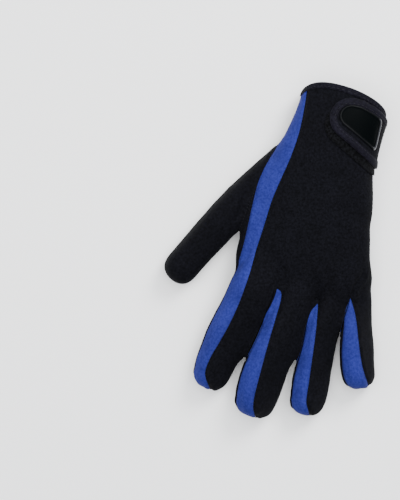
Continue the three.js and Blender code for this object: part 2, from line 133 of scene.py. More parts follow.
# The slits between neighbouring fingers in plan, from the crotch down past the tips, each
# listed under the finger on its far side.
GAP_LINES = {
    "middle": [
        (-11.6, -37.5), (-12.0, -42.2), (-13.4, -48.9), (-15.8, -57), (-18.9, -71.9),
        (-20.5, -78.7), (-22.2, -85), (-25.5, -94), (-27.8, -102.5), (-31, -112), (-34, -137),
    ],
    "ring": [
        (18.2, -40.4), (14.9, -45.4), (13.6, -50.7), (13.1, -59.6), (13.2, -65.5), (13.3, -74.3),
        (12.7, -81), (11.2, -87), (9.9, -95), (9.3, -102), (8.8, -112), (8, -130),
    ],
    "little": [
        (39.6, -32), (38.6, -38.2), (38.1, -44.2), (37.9, -50.1), (37.9, -57), (38.2, -64.3),
        (38.6, -71.3), (39.8, -79.5), (42, -88), (44, -98),
    ],
}
# Where neighbouring fingers part, and how far the blue laps over the slit near the crotch.
# The slits lean from the level of the seams, so that no light shows through from above.
SLIT_ENDS = {"middle": -89.5, "ring": -84.0, "little": -62.0}
SLIT_LAPS = {"middle": 0.9, "ring": 0.1, "little": 0.1}
SLIT_HALF_WIDTH = 0.36
LAP_START = -62
LAP_RUN = 6
SLIT_LEAN = 0.3
LEAN_LEVEL = 19.0
# The other edge of the index strip where the thumb's side of the palm shows beside it.
PALM_SIDE_EDGE = [
    (-48, 80), (-36, 72.5), (-32.4, 66), (-33.6, 59.5), (-36.4, 51.5), (-39.2, 41.8),
    (-41.0, 31), (-41.5, 14.6), (-41.6, -1.5), (-41.9, -14), (-43.3, -27.5), (-45.4, -38),
    (-49, -47), (-54, -55), (-62, -62),
]
# How far each finger's cloth stands out beyond straight sides, along its length: near is
# towards the thumb, far away from it.
SWELLS = {
    "index": table(
        "along near far",
        (0, 0, -1.5), (0.1, 0.3, -1.5), (0.25, 0.9, -1.2), (0.4, 1.8, -0.3), (0.55, 2.4, 0.2),
        (0.7, 2.4, -1.0), (0.8, 1.9, -0.5), (0.9, 0.7, -0.8), (1, 0.5, -1.0),
    ),
    "middle": table(
        "along near far",
        (0, 0.5, -1.0), (0.1, 1.3, -1.6), (0.25, 2.8, -0.6), (0.4, 4.0, -0.2), (0.55, 5.0, -2.0),
        (0.7, 4.9, -1.2), (0.8, 3.7, -1.4), (0.9, 1.9, -2.6), (1, 1.0, -2.6),
    ),
    "ring": table(
        "along near far",
        (0, -0.5, 0), (0.1, 1.4, -0.6), (0.25, 2.8, -1.2), (0.4, 2.2, -1.9), (0.55, 2.0, -1.8),
        (0.7, 2.0, -0.6), (0.8, 1.1, -0.6), (0.9, 0.2, -1.8), (1, 0.2, -1.5),
    ),
    "little": table(
        "along near far",
        (0, -0.5, 1.2), (0.1, 1.6, 1.3), (0.25, 3.0, 1.3), (0.4, 3.4, 1.3), (0.55, 3.4, 1.3),
        (0.7, 2.8, 1.2), (0.8, 1.6, 1.0), (0.9, 0.4, 0.6), (1, 0.2, 0.2),
    ),
}
SWELL_SHARE = 0.8
SWELL_FADE = 0.3
# Sections of the digits, from inside the palm to the tip: turn is a share of the finger's roll,
# rise a share of its width, lift a share of the palm's height.
FINGER_SECTIONS = table(
    "along size turn rise",
    (-0.42, 0.78, 0.15, 0),
    (-0.16, 0.98, 0.5, 0.1),
    (0.04, 1, 0.85, 0.11),
    (0.26, 1, 1, 0.08),
    (0.48, 1.01, 1, 0.05),
    (0.7, 0.99, 1, 0),
)
THUMB_SECTIONS = table(
    "along width depth lift shift",
    (-0.48, 0.64, 0.64, 0.92, 0.05),
    (-0.22, 0.82, 0.82, 0.84, 0.02),
    (0.06, 0.97, 0.98, 0.77, 0),
    (0.36, 1, 1, 0.71, 0),
    (0.7, 0.97, 0.98, 0.65, 0),
)
# Soft folds and dimples in the back of the hand, each along a line in plan.
# width and depth are those of the hollow, ridge is the height of the swell beside it.
FOLDS = table(
    "x1 y1 x2 y2 width depth ridge",
    (39.4, -30.5, 44.0, -13.5, 1.5, 1.1, 0.7),
    (-13.4, -36.0, -11.5, -22.0, 2.6, 0.9, 0.35),
    (17.0, -40.0, 13.0, -24.0, 2.6, 0.8, 0.3),
    (17.6, -40.0, 24.0, -27.0, 2.4, 0.5, 0.25),
    (39.0, -34.0, 33.0, -20.0, 2.4, 0.5, 0.25),
    (-9.5, 36.0, -18.5, 4.0, 4.0, 0.45, 0.3),
    (6.0, 44.0, -4.0, 16.0, 5.0, 0.35, 0.25),
    (-23.0, -52.0, -14.0, -58.0, 2.6, 0.35, 0.25),
    (-44.0, -66.0, -36.0, -61.0, 3.0, 0.3, 0.2),
    (-2.0, -76.0, 8.0, -72.0, 3.2, 0.3, 0.2),
    (24.0, -78.0, 34.0, -74.0, 3.2, 0.3, 0.2),
    (50.0, -58.0, 60.0, -56.0, 3.0, 0.3, 0.2),
    (22.0, 30.0, 44.0, 18.0, 5.0, 0.4, 0.25),
    (-50.0, 6.0, -44.0, 30.0, 2.6, 0.8, 0.4),
)


def smooth_step(t):
    s = np.clip(t, 0, 1)
    return s * s * (3 - 2 * s)


def mix(a, b, t):
    return a + (b - a) * t


def curve(rows, column, place):
    """A table's column at places along it, on a smooth curve through its rows."""
    at = np.array([row["along"] for row in rows], float)
    value = np.array([row[column] for row in rows], float)
    step = np.diff(at)
    slope = np.diff(value) / step
    tangent = np.empty_like(value)
    tangent[0] = slope[0]
    tangent[-1] = slope[-1]
    for i in range(1, len(at) - 1):
        a, b = slope[i - 1], slope[i]
        tangent[i] = 0 if a * b <= 0 else 2 * a * b / (a + b)
    t = np.clip(np.asarray(place, float), at[0], at[-1])
    i = np.clip(np.searchsorted(at, t) - 1, 0, len(at) - 2)
    s = (t - at[i]) / step[i]
    near = (2 * s**3 - 3 * s**2 + 1) * value[i] + (s**3 - 2 * s**2 + s) * step[i] * tangent[i]
    return near + (3 * s**2 - 2 * s**3) * value[i + 1] + (s**3 - s**2) * step[i] * tangent[i + 1]


def superellipse(angle, half_width, half_depth, squareness):
    """Points of a rounded rectangular section, as (across, up)."""
    c, s = np.cos(angle), np.sin(angle)
    across = half_width * np.sign(c) * np.abs(c) ** (2 / squareness)
    up = half_depth * np.sign(s) * np.abs(s) ** (2 / squareness)
    return across, up


def palm_row(place):
    """Middle, half width and half depth of the palm and wrist, at shares of their length."""
    middle = curve(PALM_SECTIONS, "middle", place) * PALM_WIDTH
    half_width = mix(CUFF_WIDTH, PALM_WIDTH, curve(PALM_SECTIONS, "width", place)) / 2
    half_depth = mix(CUFF_DEPTH, PALM_DEPTH, curve(PALM_SECTIONS, "depth", place)) / 2
    return middle, half_width, half_depth


def palm_place(y):
    return (y + CROTCH_REACH) / PALM_LENGTH


def side_swell(finger, t):
    """How far a finger's near and far sides stand out at a share of its length."""
    rows = SWELLS[finger["name"]]
    fade = smooth_step(1 + t / SWELL_FADE)
    return curve(rows, "near", t) * fade, curve(rows, "far", t) * fade


def finger_frame(finger, t):
    """Axis, turn and half sizes of a finger at a share of its length."""
    near, far = side_swell(finger, t)
    side = (far - near) / 2
    taper = np.clip(t / TAPER_END, 0, 1)
    width = mix(finger["root_width"], finger["tip_width"], taper)
    size = curve(FINGER_SECTIONS, "size", t) * width
    roll = math.radians(finger["roll"]) * curve(FINGER_SECTIONS, "turn", t)
    half_width = size / 2 * FINGER_BREADTH + (near + far) / 2 / SWELL_SHARE
    half_depth = size / 2 * FINGER_THICKNESS
    q = FINGER_SQUARENESS / (FINGER_SQUARENESS - 1)
    from_width = np.abs(half_width * np.sin(roll)) ** q
    from_depth = np.abs(half_depth * np.cos(roll)) ** q
    reach_up = (from_width + from_depth) ** (1 / q)
    raised = reach_up - FLATTENING + curve(FINGER_SECTIONS, "rise", t) * width
    lean = math.radians(finger["lean"])
    reach = t * finger["length"]
    return dict(
        x=finger["root"] - math.sin(lean) * reach + math.cos(lean) * side,
        y=finger["start"] - CROTCH_REACH - math.cos(lean) * reach - math.sin(lean) * side,
        z=mix(raised, PALM_AXIS_HEIGHT, smooth_step(-t / FINGER_SINK)),
        lean=lean,
        roll=roll,
        half_width=half_width,
        half_depth=half_depth,
    )


def thumb_frame(t):
    """Axis, turn and half sizes of the thumb at a share of its length."""
    lean = math.radians(THUMB["lean"])
    reach = t * THUMB["length"]
    shift = curve(THUMB_SECTIONS, "shift", t) * THUMB["width"]
    return dict(
        x=THUMB["x"] - math.sin(lean) * reach + math.cos(lean) * shift,
        y=THUMB["y"] - math.cos(lean) * reach - math.sin(lean) * shift,
        z=curve(THUMB_SECTIONS, "lift", t) * PALM_AXIS_HEIGHT,
        lean=lean,
        roll=math.radians(THUMB["roll"]) * np.ones_like(t),
        half_width=curve(THUMB_SECTIONS, "width", t) * THUMB["width"] / 2,
        half_depth=curve(THUMB_SECTIONS, "depth", t) * THUMB["depth"] / 2,
    )


def cuff_edge(x, shift):
    """Place of the cuff's edge along the wrist, an arch in plan."""
    middle = palm_row(1.0)[0]
    across = np.clip((x - middle) / (CUFF_WIDTH / 2), -1, 1)
    skewed = across + CUFF_CROWN_SHIFT * np.maximum(1 - across * across, 0)
    rise = np.maximum(1 - np.abs(skewed) ** CUFF_ARCH, 0) ** (1 / CUFF_ARCH)
    return CUFF_REACH + CUFF_CROWN * rise - CUFF_SLANT / 2 * across + shift


def pressed(z, low, softness=0.5):
    """Heights where the cloth's weight presses the round form onto a level."""
    above = z - low
    return low + (above + np.sqrt(above * above + softness * softness)) / 2


# Mesh tools.
def deselect():
    bpy.ops.object.select_all(action="DESELECT")


def make_active(piece):
    deselect()
    piece.select_set(True)
    bpy.context.view_layer.objects.active = piece


def mesh_piece(name, points, faces):
    """A piece from points in millimetres, its faces turned outwards."""
    mesh = bpy.data.meshes.new(name)
    mesh.from_pydata((np.asarray(points) * MM).tolist(), [], faces)
    mesh.validate()
    piece = bpy.data.objects.new(name, mesh)
    bpy.context.scene.collection.objects.link(piece)
    make_active(piece)
    bpy.ops.object.mode_set(mode="EDIT")
    bpy.ops.mesh.select_all(action="SELECT")
    bpy.ops.mesh.normals_make_consistent(inside=False)
    bpy.ops.object.mode_set(mode="OBJECT")
    return piece


def ring_faces(count, sides, spans):
    """Four-sided faces between rings, also from the last one to the first."""
    faces = []
    for r in range(spans):
        a, b = r * sides, ((r + 1) % count) * sides
        for i in range(sides):
            j = (i + 1) % sides
            faces.append((a + i, a + j, b + j, b + i))
    return faces


def lofted(name, rings, looped=False):
    """A closed piece through rings of equally many points. Its ends are joined to each other
    in a loop, or each closed with a fan."""
    rings = np.asarray(rings, float)
    count, sides = rings.shape[:2]
    points = rings.reshape(-1, 3)
    faces = ring_faces(count, sides, count if looped else count - 1)
    if not looped:
        middles = rings[[0, -1]].mean(axis=1)
        points = np.vstack([points, middles])
        for k, row in ((0, 0), (1, count - 1)):
            centre = count * sides + k
            for i in range(sides):
                faces.append((row * sides + i, row * sides + (i + 1) % sides, centre))
    return mesh_piece(name, points, faces)


def apply(piece, modifier):
    make_active(piece)
    bpy.ops.object.modifier_apply(modifier=modifier.name)


def joined(pieces, name):
    deselect()
    for piece in pieces:
        piece.select_set(True)
    bpy.context.view_layer.objects.active = pieces[0]
    bpy.ops.object.join()
    pieces[0].name = name
    return pieces[0]


def remeshed(piece, size):
    modifier = piece.modifiers.new("remesh", "REMESH")
    modifier.mode = "VOXEL"
    modifier.voxel_size = size * MM
    apply(piece, modifier)


def cut(piece, other, operation):
    modifier = piece.modifiers.new("cut", "BOOLEAN")
    modifier.operation = operation
    modifier.solver = "MANIFOLD"
    modifier.object = other
    apply(piece, modifier)


def copied(piece, name):
    double = piece.copy()
    double.data = piece.data.copy()
    double.name = name
    bpy.context.scene.collection.objects.link(double)
    return double


def remove(*pieces):
    for piece in pieces:
        bpy.data.objects.remove(piece)


def points_of(piece):
    flat = np.empty(len(piece.data.vertices) * 3)
    piece.data.vertices.foreach_get("co", flat)
    return flat.reshape(-1, 3) / MM


def normals_of(piece):
    flat = np.empty(len(piece.data.vertices) * 3, np.float32)
    piece.data.vertex_normals.foreach_get("vector", flat)
    return flat.reshape(-1, 3).astype(float)


def set_points(piece, points):
    piece.data.vertices.foreach_set("co", (points * MM).ravel())
    piece.data.update()


def edges_of(piece):
    pairs = np.empty(len(piece.data.edges) * 2, np.int32)
    piece.data.edges.foreach_get("vertices", pairs)
    return pairs.reshape(-1, 2)


def relax(points, edges, weight, rounds):
    """Moves each point towards the mean of its neighbours, by its weight."""
    count = np.bincount(edges.ravel(), minlength=len(points))[:, None]
    for _ in range(rounds):
        total = np.zeros_like(points)
        for axis in range(3):
            total[:, axis] += np.bincount(edges[:, 0], points[edges[:, 1], axis], len(points))
            total[:, axis] += np.bincount(edges[:, 1], points[edges[:, 0], axis], len(points))
        points = points + (total / count - points) * weight[:, None]
    return points


# The hand's form.
def palm_tube(name, offset, sides, step, low):
    """The palm and wrist, grown by offset and pressed onto a level."""
    first, last = PALM_SECTIONS[0]["along"], PALM_SECTIONS[-1]["along"]
    places = np.linspace(first, last, int((last - first) * PALM_LENGTH / step) + 1)
    y = places * PALM_LENGTH - CROTCH_REACH
    y[0] -= offset
    middle, half_width, half_depth = palm_row(places)
    angle = (np.arange(sides) + 0.5) / sides * 2 * math.pi
    rings = []
    for i in range(len(places)):
        u, w = superellipse(angle, half_width[i] + offset, half_depth[i] + offset, PALM_SQUARENESS)
        z = pressed(half_depth[i] - FLATTENING + w, low)
        rings.append(np.stack([middle[i] + u, np.full(sides, y[i]), z], axis=1))
    return lofted(name, rings)


TIP_RINGS = 12
TIP_ROUNDING = 2.4
LEAST_HALF_SIZE = 0.3


def digit_tube(name, frame_at, start, length, tip_reach, inset, sides, step, low):
    """A finger or thumb with a rounded tip, drawn in by inset and pressed onto a level."""
    tip_start = 1 - tip_reach / length
    tip_end = 1 - inset / length
    body = np.linspace(start, tip_start, int((tip_start - start) * length / step) + 1)
    reach = np.sin(np.linspace(0, math.pi / 2 * 0.97, TIP_RINGS))[1:]
    tip = mix(tip_start, tip_end, reach)
    rounding = (1 - reach**TIP_ROUNDING) ** (1 / TIP_ROUNDING)
    size = np.concatenate([np.ones(len(body)), rounding])
    places = np.concatenate([body, tip])
    at = frame_at(places)
    angle = (np.arange(sides) + 0.5) / sides * 2 * math.pi
    rings = []
    for i in range(len(places)):
        half_width = np.maximum((at["half_width"][i] - inset) * size[i], LEAST_HALF_SIZE)
        half_depth = np.maximum((at["half_depth"][i] - inset) * size[i], LEAST_HALF_SIZE)
        u, w = superellipse(angle, half_width, half_depth, FINGER_SQUARENESS)
        roll = at["roll"][i]
        across = u * np.cos(roll) + w * np.sin(roll)
        up = w * np.cos(roll) - u * np.sin(roll)
        x = at["x"][i] + across * math.cos(at["lean"])
        y = at["y"][i] - across * math.sin(at["lean"])
        rings.append(np.stack([x, y, pressed(at["z"][i] + up, low)], axis=1))
    return lofted(name, rings)


def finger_tube(finger, inset, sides, step, low):
    return digit_tube(
        finger["name"], lambda t: finger_frame(finger, t), FINGER_SECTIONS[0]["along"],
        finger["length"], FINGER_TIP_REACH, inset, sides, step, low,
    )


def thumb_tube(name, inset, sides, step, low):
    return digit_tube(
        name, thumb_frame, THUMB_SECTIONS[0]["along"], THUMB["length"],
        THUMB_TIP_REACH, inset, sides, step, low,
    )


def hand_form(name, inset, sides, step, low, voxel):
    """Palm, fingers and thumb in one skin."""
    tubes = [palm_tube("palm", -inset, sides, step, low)]
    tubes += [finger_tube(finger, inset, sides, step, low) for finger in FINGERS]
    tubes.append(thumb_tube("thumb", inset, sides, step, low))
    form = joined(tubes, name)
    remeshed(form, voxel)
    return form


# Seams of the side strips. The grids are shares of the palm's and the longest finger's length.
PALM_GRID = [1.23, 1, 0.77, 0.595, 0.464, 0.232, 0.116, 0.058, 0.015]
FINGER_GRID = [0.067, 0.333, 0.667, 1.11]
SEAM_SPREAD = 1.04
OUTER_STRIP_SHARE = 0.42
SEAM_TURN_START = 0.232
SEAM_TURN_RUN = 0.275
SEAM_WIDTH_START = 0.08
COLUMNS = len(FINGERS) * 3
ROWS_BETWEEN = 4
DROP_REACH = 11
PALM_DROP_SHARE = 0.5
LEAST_GAP = 0.6
TOUCHING_GAP = 3.5
TOUCHING_FADE = 2
CROTCH_FADE = 6


def palm_share(column):
    """Where a column of the grid lies across the palm, from -1 to 1."""
    if column == 0:
        return -1.0
    if column == COLUMNS - 1:
        return 1.0
    return mix(-OUTER_STRIP_SHARE, OUTER_STRIP_SHARE, (column - 1) / (COLUMNS - 3))


def seam_rows():
    """Seam heights over a grid of the hand: rows along it, three columns for each finger."""
    longest = max(finger["length"] for finger in FINGERS)
    rows = [share * PALM_LENGTH - CROTCH_REACH for share in PALM_GRID]
    rows += [-share * longest - CROTCH_REACH for share in FINGER_GRID]
    count = ROWS_BETWEEN * (len(rows) - 1) + 1
    y = np.interp(np.linspace(0, len(rows) - 1, count), np.arange(len(rows)), rows)
    share = palm_place(y)
    middle, half_width, _ = palm_row(np.maximum(share, SEAM_WIDTH_START))
    seam = {key: curve(SEAM_SECTIONS, key, share) for key in SEAM_SECTIONS[0] if key != "along"}
    blend = smooth_step((SEAM_TURN_START - share) / SEAM_TURN_RUN)
    x = np.empty((len(y), COLUMNS))
    back = np.empty_like(x)
    palm = np.empty_like(x)
    for i, finger in enumerate(FINGERS):
        lean = math.radians(finger["lean"])
        root = finger["start"] - CROTCH_REACH
        t = np.clip((root - y) / math.cos(lean) / finger["length"], 0, 1)
        at = finger_frame(finger, t)
        near, far = side_swell(finger, t)
        width = mix(finger["root_width"], finger["tip_width"], t)
        half = width / 2 * SEAM_SPREAD + (near + far) / 2
        centre = finger["root"] - math.tan(lean) * (root - y) + (far - near) / 2 / math.cos(lean)
        upright = at["half_depth"] / np.cos(at["roll"])
        for k, side in enumerate((-1, 0, 1)):
            column = 3 * i + 1 + side
            place = palm_share(column)
            across = (place + 1) / 2
            height = at["z"] - np.tan(at["roll"]) * side * half
            over_back = mix(seam["thumb_back"], seam["little_back"], across)
            over_palm = mix(seam["thumb_palm"], seam["little_palm"], across)
            beside = centre + side * half / math.cos(lean)
            x[:, column] = mix(middle + place * half_width, beside, blend)
            for grid, over, shares in (
                (back, over_back, BACK_SEAM_SHARES),
                (palm, over_palm, PALM_SEAM_SHARES),
            ):
                on_palm = PALM_AXIS_HEIGHT + over * PALM_DEPTH / 2
                grid[:, column] = mix(on_palm, height + shares[k] * upright, blend)
    drop = CROTCH_DROP * np.exp(-(((y + CROTCH_REACH - 1) / DROP_REACH) ** 2))[:, None]
    back[:, 1:-1] -= drop
    palm[:, 1:-1] -= drop * PALM_DROP_SHARE
    for column, line in zip(range(2, COLUMNS - 1, 3), GAP_LINES.values()):
        places = np.array(line[::-1])
        apart = x[:, column + 1] - x[:, column]
        touching = smooth_step((TOUCHING_GAP - apart) / TOUCHING_FADE)
        touching *= smooth_step((line[0][1] - y) / CROTCH_FADE)
        centre = (x[:, column] + x[:, column + 1]) / 2
        centre = mix(centre, np.interp(y, places[:, 1], places[:, 0]), touching)
        half = np.maximum(apart, LEAST_GAP) / 2
        x[:, column] = centre - half
        x[:, column + 1] = centre + half
    x = np.column_stack([np.full(len(y), -FAR), x, np.full(len(y), FAR)])
    back = np.column_stack([back[:, 0], back, back[:, -1]])
    palm = np.column_stack([palm[:, 0], palm, palm[:, -1]])
    return dict(y=y, x=x, back=back, palm=palm)


SEAMS = seam_rows()


def seam_height(key, points):
    """Height of a seam surface over points of the hand."""
    y = SEAMS["y"][::-1]
    place = np.interp(points[:, 1], y, np.arange(len(y)))
    row = np.clip(place.astype(int), 0, len(y) - 2)
    part = (place - row)[:, None]
    x = mix(SEAMS["x"][::-1][row], SEAMS["x"][::-1][row + 1], part)
    z = mix(SEAMS[key][::-1][row], SEAMS[key][::-1][row + 1], part)
    column = np.clip((x < points[:, :1]).sum(axis=1) - 1, 0, x.shape[1] - 2)
    pick = np.arange(len(points))
    x1, x2 = x[pick, column], x[pick, column + 1]
    share = (points[:, 0] - x1) / (x2 - x1)
    return mix(z[pick, column], z[pick, column + 1], share)


def seam_block(name, low, high, first=0, last=COLUMNS + 1, trim=0.0):
    """The closed block between two bounds, over some of the columns. A bound is a level, or a
    seam surface with a shift upwards."""

    def bound_heights(bound, row):
        if np.isscalar(bound):
            return np.full(x.shape[1], bound)
        surface, shift = bound
        return surface[row, first : last + 1] + shift

    x = SEAMS["x"][:, first : last + 1].copy()
    x[:, 0] += trim
    x[:, -1] -= trim
    rings = []
    for i, y in enumerate(SEAMS["y"]):
        along = np.full(x.shape[1], y)
        lower = np.stack([x[i], along, bound_heights(low, i)], axis=1)
        upper = np.stack([x[i], along, bound_heights(high, i)], axis=1)
        rings.append(np.vstack([lower, upper[::-1]]))
    rings = np.array(rings)
    count, sides = rings.shape[:2]
    faces = ring_faces(count, sides, count - 1)
    for r in (0, count - 1):
        for i in range(sides // 2 - 1):
            a = r * sides
            faces.append((a + i, a + i + 1, a + sides - 2 - i, a + sides - 1 - i))
    return mesh_piece(name, rings.reshape(-1, 3), faces)


# Areas in plan that the strips take up, between a strip's edge and the gap beside its finger.
def rounded_line(pairs, step=1.2):
    """A smooth line in plan through points, at even steps."""
    pairs = np.array(pairs, float)
    before = np.vstack([2 * pairs[0] - pairs[1], pairs, 2 * pairs[-1] - pairs[-2]])
    line = []
    for i in range(len(pairs) - 1):
        p0, p1, p2, p3 = before[i : i + 4]
        count = max(int(np.linalg.norm(p2 - p1) / step), 1)
        for t in np.arange(count)[:, None] / count:
            bend = (2 * p0 - 5 * p1 + 4 * p2 - p3) * t**2 + (3 * (p1 - p2) + p3 - p0) * t**3
            line.append((2 * p1 + (p2 - p0) * t + bend) / 2)
    return np.vstack([line, pairs[-1:]])


def strip_area(finger, inset):
    """The plan area of one finger's strip as it shows from above."""
    name = FINGERS[finger]["name"]
    edge = rounded_line(STRIP_EDGES[name])
    edge[:, 0] -= inset
    if finger == 0:
        return np.vstack([edge, [(-FAR, edge[-1, 1]), (-FAR, edge[0, 1])]])
    edge[0, 1] -= inset
    gap = rounded_line(GAP_LINES[name])[1:][::-1]
    near_crotch = smooth_step((gap[:, 1] - LAP_START) / LAP_RUN)
    gap[:, 0] -= mix(SLIT_LAPS["ring"], SLIT_LAPS[name], near_crotch)
    return np.vstack([edge, gap])


def slit_area(name, grown=0.0):
    """The plan area of the slit between two fingers, pointed at the crotch."""
    line = rounded_line(GAP_LINES[name])
    line = line[line[:, 1] > SLIT_ENDS[name]]
    run = line[0, 1] - line[:, 1]
    opening = 0.2 + 0.8 * smooth_step(run / 5) + 0.6 * smooth_step(run / 30)
    half = SLIT_HALF_WIDTH * opening + grown
    line[0, 1] += grown
    near = np.stack([line[:, 0] - half, line[:, 1]], axis=1)
    far = np.stack([line[:, 0] + half, line[:, 1]], axis=1)
    return np.vstack([near, far[::-1]])


def palm_side_area(grown=0.0):
    """The plan area of the palm's side beside the index strip."""
    edge = rounded_line(PALM_SIDE_EDGE)
    edge[:, 0] += grown
    return np.vstack([edge, [(-FAR, edge[-1, 1]), (-FAR, edge[0, 1])]])


def plan_distance(points, area):
    """Distance in plan to an area's outline, below zero inside it."""
    place = points[:, None, :2]
    a, b = area, np.roll(area, -1, axis=0)
    run = b - a
    share = np.clip(((place - a) * run).sum(-1) / np.maximum((run * run).sum(-1), 1e-9), 0, 1)
    away = np.linalg.norm(place - a - share[..., None] * run, axis=-1).min(axis=1)
    x, y = place[..., 0], place[..., 1]
    spans = (a[:, 1] > y) != (b[:, 1] > y)
    rise = np.where(run[:, 1] == 0, 1, run[:, 1])
    crossings = (spans & (x < a[:, 0] + (y - a[:, 1]) / rise * run[:, 0])).sum(axis=1)
    return np.where(crossings % 2 == 1, -away, away)


def area_block(name, area, lean=0.0):
    """The block over an area in plan, upright or leaning about the seams' level."""
    count = len(area)
    points = [(x - lean * (z - LEAN_LEVEL), y, z) for z in (-FAR, FAR) for x, y in area]
    faces = [(i, (i + 1) % count, count + (i + 1) % count, count + i) for i in range(count)]
    faces += [tuple(range(count)), tuple(range(count, 2 * count))]
    return mesh_piece(name, points, faces)


# Fields that tell the thumb's own panel from the rest.
PALM_STAND_OFF = 1.0
THUMB_REACH = 2.8


def palm_field(points):
    """Below zero inside the palm's form, swollen a little."""
    middle, half_width, half_depth = palm_row(palm_place(points[:, 1]))
    across = np.abs(points[:, 0] - middle) / (half_width + PALM_STAND_OFF)
    up = np.abs(points[:, 2] - half_depth + FLATTENING) / (half_depth + PALM_STAND_OFF)
    return (across**PALM_SQUARENESS + up**PALM_SQUARENESS) ** (1 / PALM_SQUARENESS) - 1


def thumb_field(points):
    """Below zero inside the thumb's form, swollen a little."""
    lean = math.radians(THUMB["lean"])
    dx, dy = points[:, 0] - THUMB["x"], points[:, 1] - THUMB["y"]
    t = (-math.sin(lean) * dx - math.cos(lean) * dy) / THUMB["length"]
    across = math.cos(lean) * dx - math.sin(lean) * dy
    at = thumb_frame(t)
    across = across - curve(THUMB_SECTIONS, "shift", t) * THUMB["width"]
    up = points[:, 2] - at["z"]
    roll = at["roll"]
    u = across * np.cos(roll) - up * np.sin(roll)
    w = across * np.sin(roll) + up * np.cos(roll)
    q = FINGER_SQUARENESS
    u = np.abs(u) / (at["half_width"] + THUMB_REACH)
    w = np.abs(w) / (at["half_depth"] + THUMB_REACH)
    inside = (u**q + w**q) ** (1 / q) - 1
    return np.where(t < THUMB_SECTIONS[0]["along"], 1.0, inside)


SHORTEST_LOOP = 8
SHORTEST_LINE = 12


def crossing_lines(piece, points, field):
    """Lines on a mesh where a field changes sign, as lists of points in order."""
    edges = edges_of(piece)
    a, b = field[edges[:, 0]], field[edges[:, 1]]
    crossed = (a < 0) != (b < 0)
    share = np.where(crossed, a / np.where(crossed, a - b, 1), 0)[:, None]
    places = mix(points[edges[:, 0]], points[edges[:, 1]], share)
    loop_edges = np.empty(len(piece.data.loops), np.int32)
    piece.data.loops.foreach_get("edge_index", loop_edges)
    starts = np.empty(len(piece.data.polygons), np.int32)
    piece.data.polygons.foreach_get("loop_start", starts)
    face_of = np.repeat(np.arange(len(starts)), np.diff(np.append(starts, len(loop_edges))))
    hit = crossed[loop_edges]
    near = {}
    for face, edge in zip(face_of[hit].tolist(), loop_edges[hit].tolist()):
        near.setdefault(face, []).append(edge)
    links = {}
    for pair in near.values():
        if len(pair) == 2:
            links.setdefault(pair[0], []).append(pair[1])
            links.setdefault(pair[1], []).append(pair[0])
    unused = set(links)
    lines = []
    ends = [edge for edge, others in links.items() if len(others) == 1]
    for start in ends + sorted(links):
        if start not in unused:
            continue
        line = [start]
        unused.discard(start)
        while True:
            following = [edge for edge in links[line[-1]] if edge in unused]
            if not following:
                break
            line.append(following[0])
            unused.discard(following[0])
        if start in links[line[-1]] and len(line) > SHORTEST_LOOP:
            line.append(start)
        if len(line) > SHORTEST_LINE:
            lines.append(places[line])
    return lines


def even(line, pitch, rounds=12):
    """A line smoothed and resampled at an even pitch."""
    line = np.array(line)
    for _ in range(rounds):
        line[1:-1] = (line[:-2] + line[2:]) / 4 + line[1:-1] / 2
    run = np.concatenate([[0], np.cumsum(np.linalg.norm(np.diff(line, axis=0), axis=1))])
    count = max(int(run[-1] / pitch), 1)
    at = np.linspace(0, run[-1], count + 1)
    return np.stack([np.interp(at, run, line[:, axis]) for axis in range(3)], axis=1)


def distance_to(points, targets, reach):
    """Distance of each point to the nearest target, reach where it is further."""
    tree = kdtree.KDTree(len(targets))
    for i, target in enumerate(targets):
        tree.insert(target, i)
    tree.balance()
    low = np.min(targets, axis=0) - reach
    high = np.max(targets, axis=0) + reach
    found = np.full(len(points), float(reach))
    inside = np.where(np.all((points > low) & (points < high), axis=1))[0]
    for i in inside.tolist():
        found[i] = min(tree.find(points[i])[2], reach)
    return found


def ripple(points, scale, shift=0.0):
    """Smooth noise at points, about -1 to 1."""
    move = Vector((shift, shift * 0.7, -shift))
    return np.array([noise.noise(Vector(p) / scale + move) for p in points.tolist()])


# The whole hand, then its details. Passes are rounds of relaxing.
OUTER_FORM = dict(sides=112, step=1.5, low=0.0, voxel=0.8)
INNER_FORM = dict(sides=56, step=2.5, low=CLOTH, voxel=1.5)
EVEN_WEIGHT = 0.5
FORM_PASSES = 10
CROTCH_PASSES = 60
LAST_PASSES = 4
# Crotches of the fingers in plan, as place and reach.
CROTCHES = [(-11.4, -35.0, 9.0), (17.9, -38.0, 8.0), (39.8, -30.0, 8.0)]
CROTCH_SQUASH = 0.8
CROTCH_EDGE = 1.6
# The band over the fingers' roots, which is softened too.
ROOT_LOW = -62
ROOT_LOW_FADE = 14
ROOT_HIGH = -18
ROOT_HIGH_FADE = 10
ROOT_SHARE = 0.8
THUMB_ROOT_EDGE = 1.4
THUMB_ROOT_SHARPNESS = 5


def relax_evenly(points, edges, passes):
    return relax(points, edges, np.full(len(points), EVEN_WEIGHT), passes)


hand = hand_form("hand", 0, **OUTER_FORM)
edges = edges_of(hand)
points = relax_evenly(points_of(hand), edges, FORM_PASSES)

# Crotches of the fingers and the thumb's root, rounded further.
soften = np.zeros(len(points))
for x, y, reach in CROTCHES:
    away = np.hypot(points[:, 0] - x, (points[:, 1] - y) * CROTCH_SQUASH)
    soften = np.maximum(soften, smooth_step(CROTCH_EDGE - away / reach))
root_band = smooth_step((points[:, 1] - ROOT_LOW) / ROOT_LOW_FADE)
root_band *= smooth_step((ROOT_HIGH - points[:, 1]) / ROOT_HIGH_FADE)
soften = np.maximum(soften, root_band * ROOT_SHARE)
both = np.maximum(np.abs(thumb_field(points)), np.abs(palm_field(points)))
soften = np.maximum(soften, smooth_step(THUMB_ROOT_EDGE - both * THUMB_ROOT_SHARPNESS))
points = relax(points, edges, EVEN_WEIGHT * soften, CROTCH_PASSES)
points = relax_evenly(points, edges, LAST_PASSES)
points[:, 2] = np.maximum(points[:, 2], 0)
set_points(hand, points)

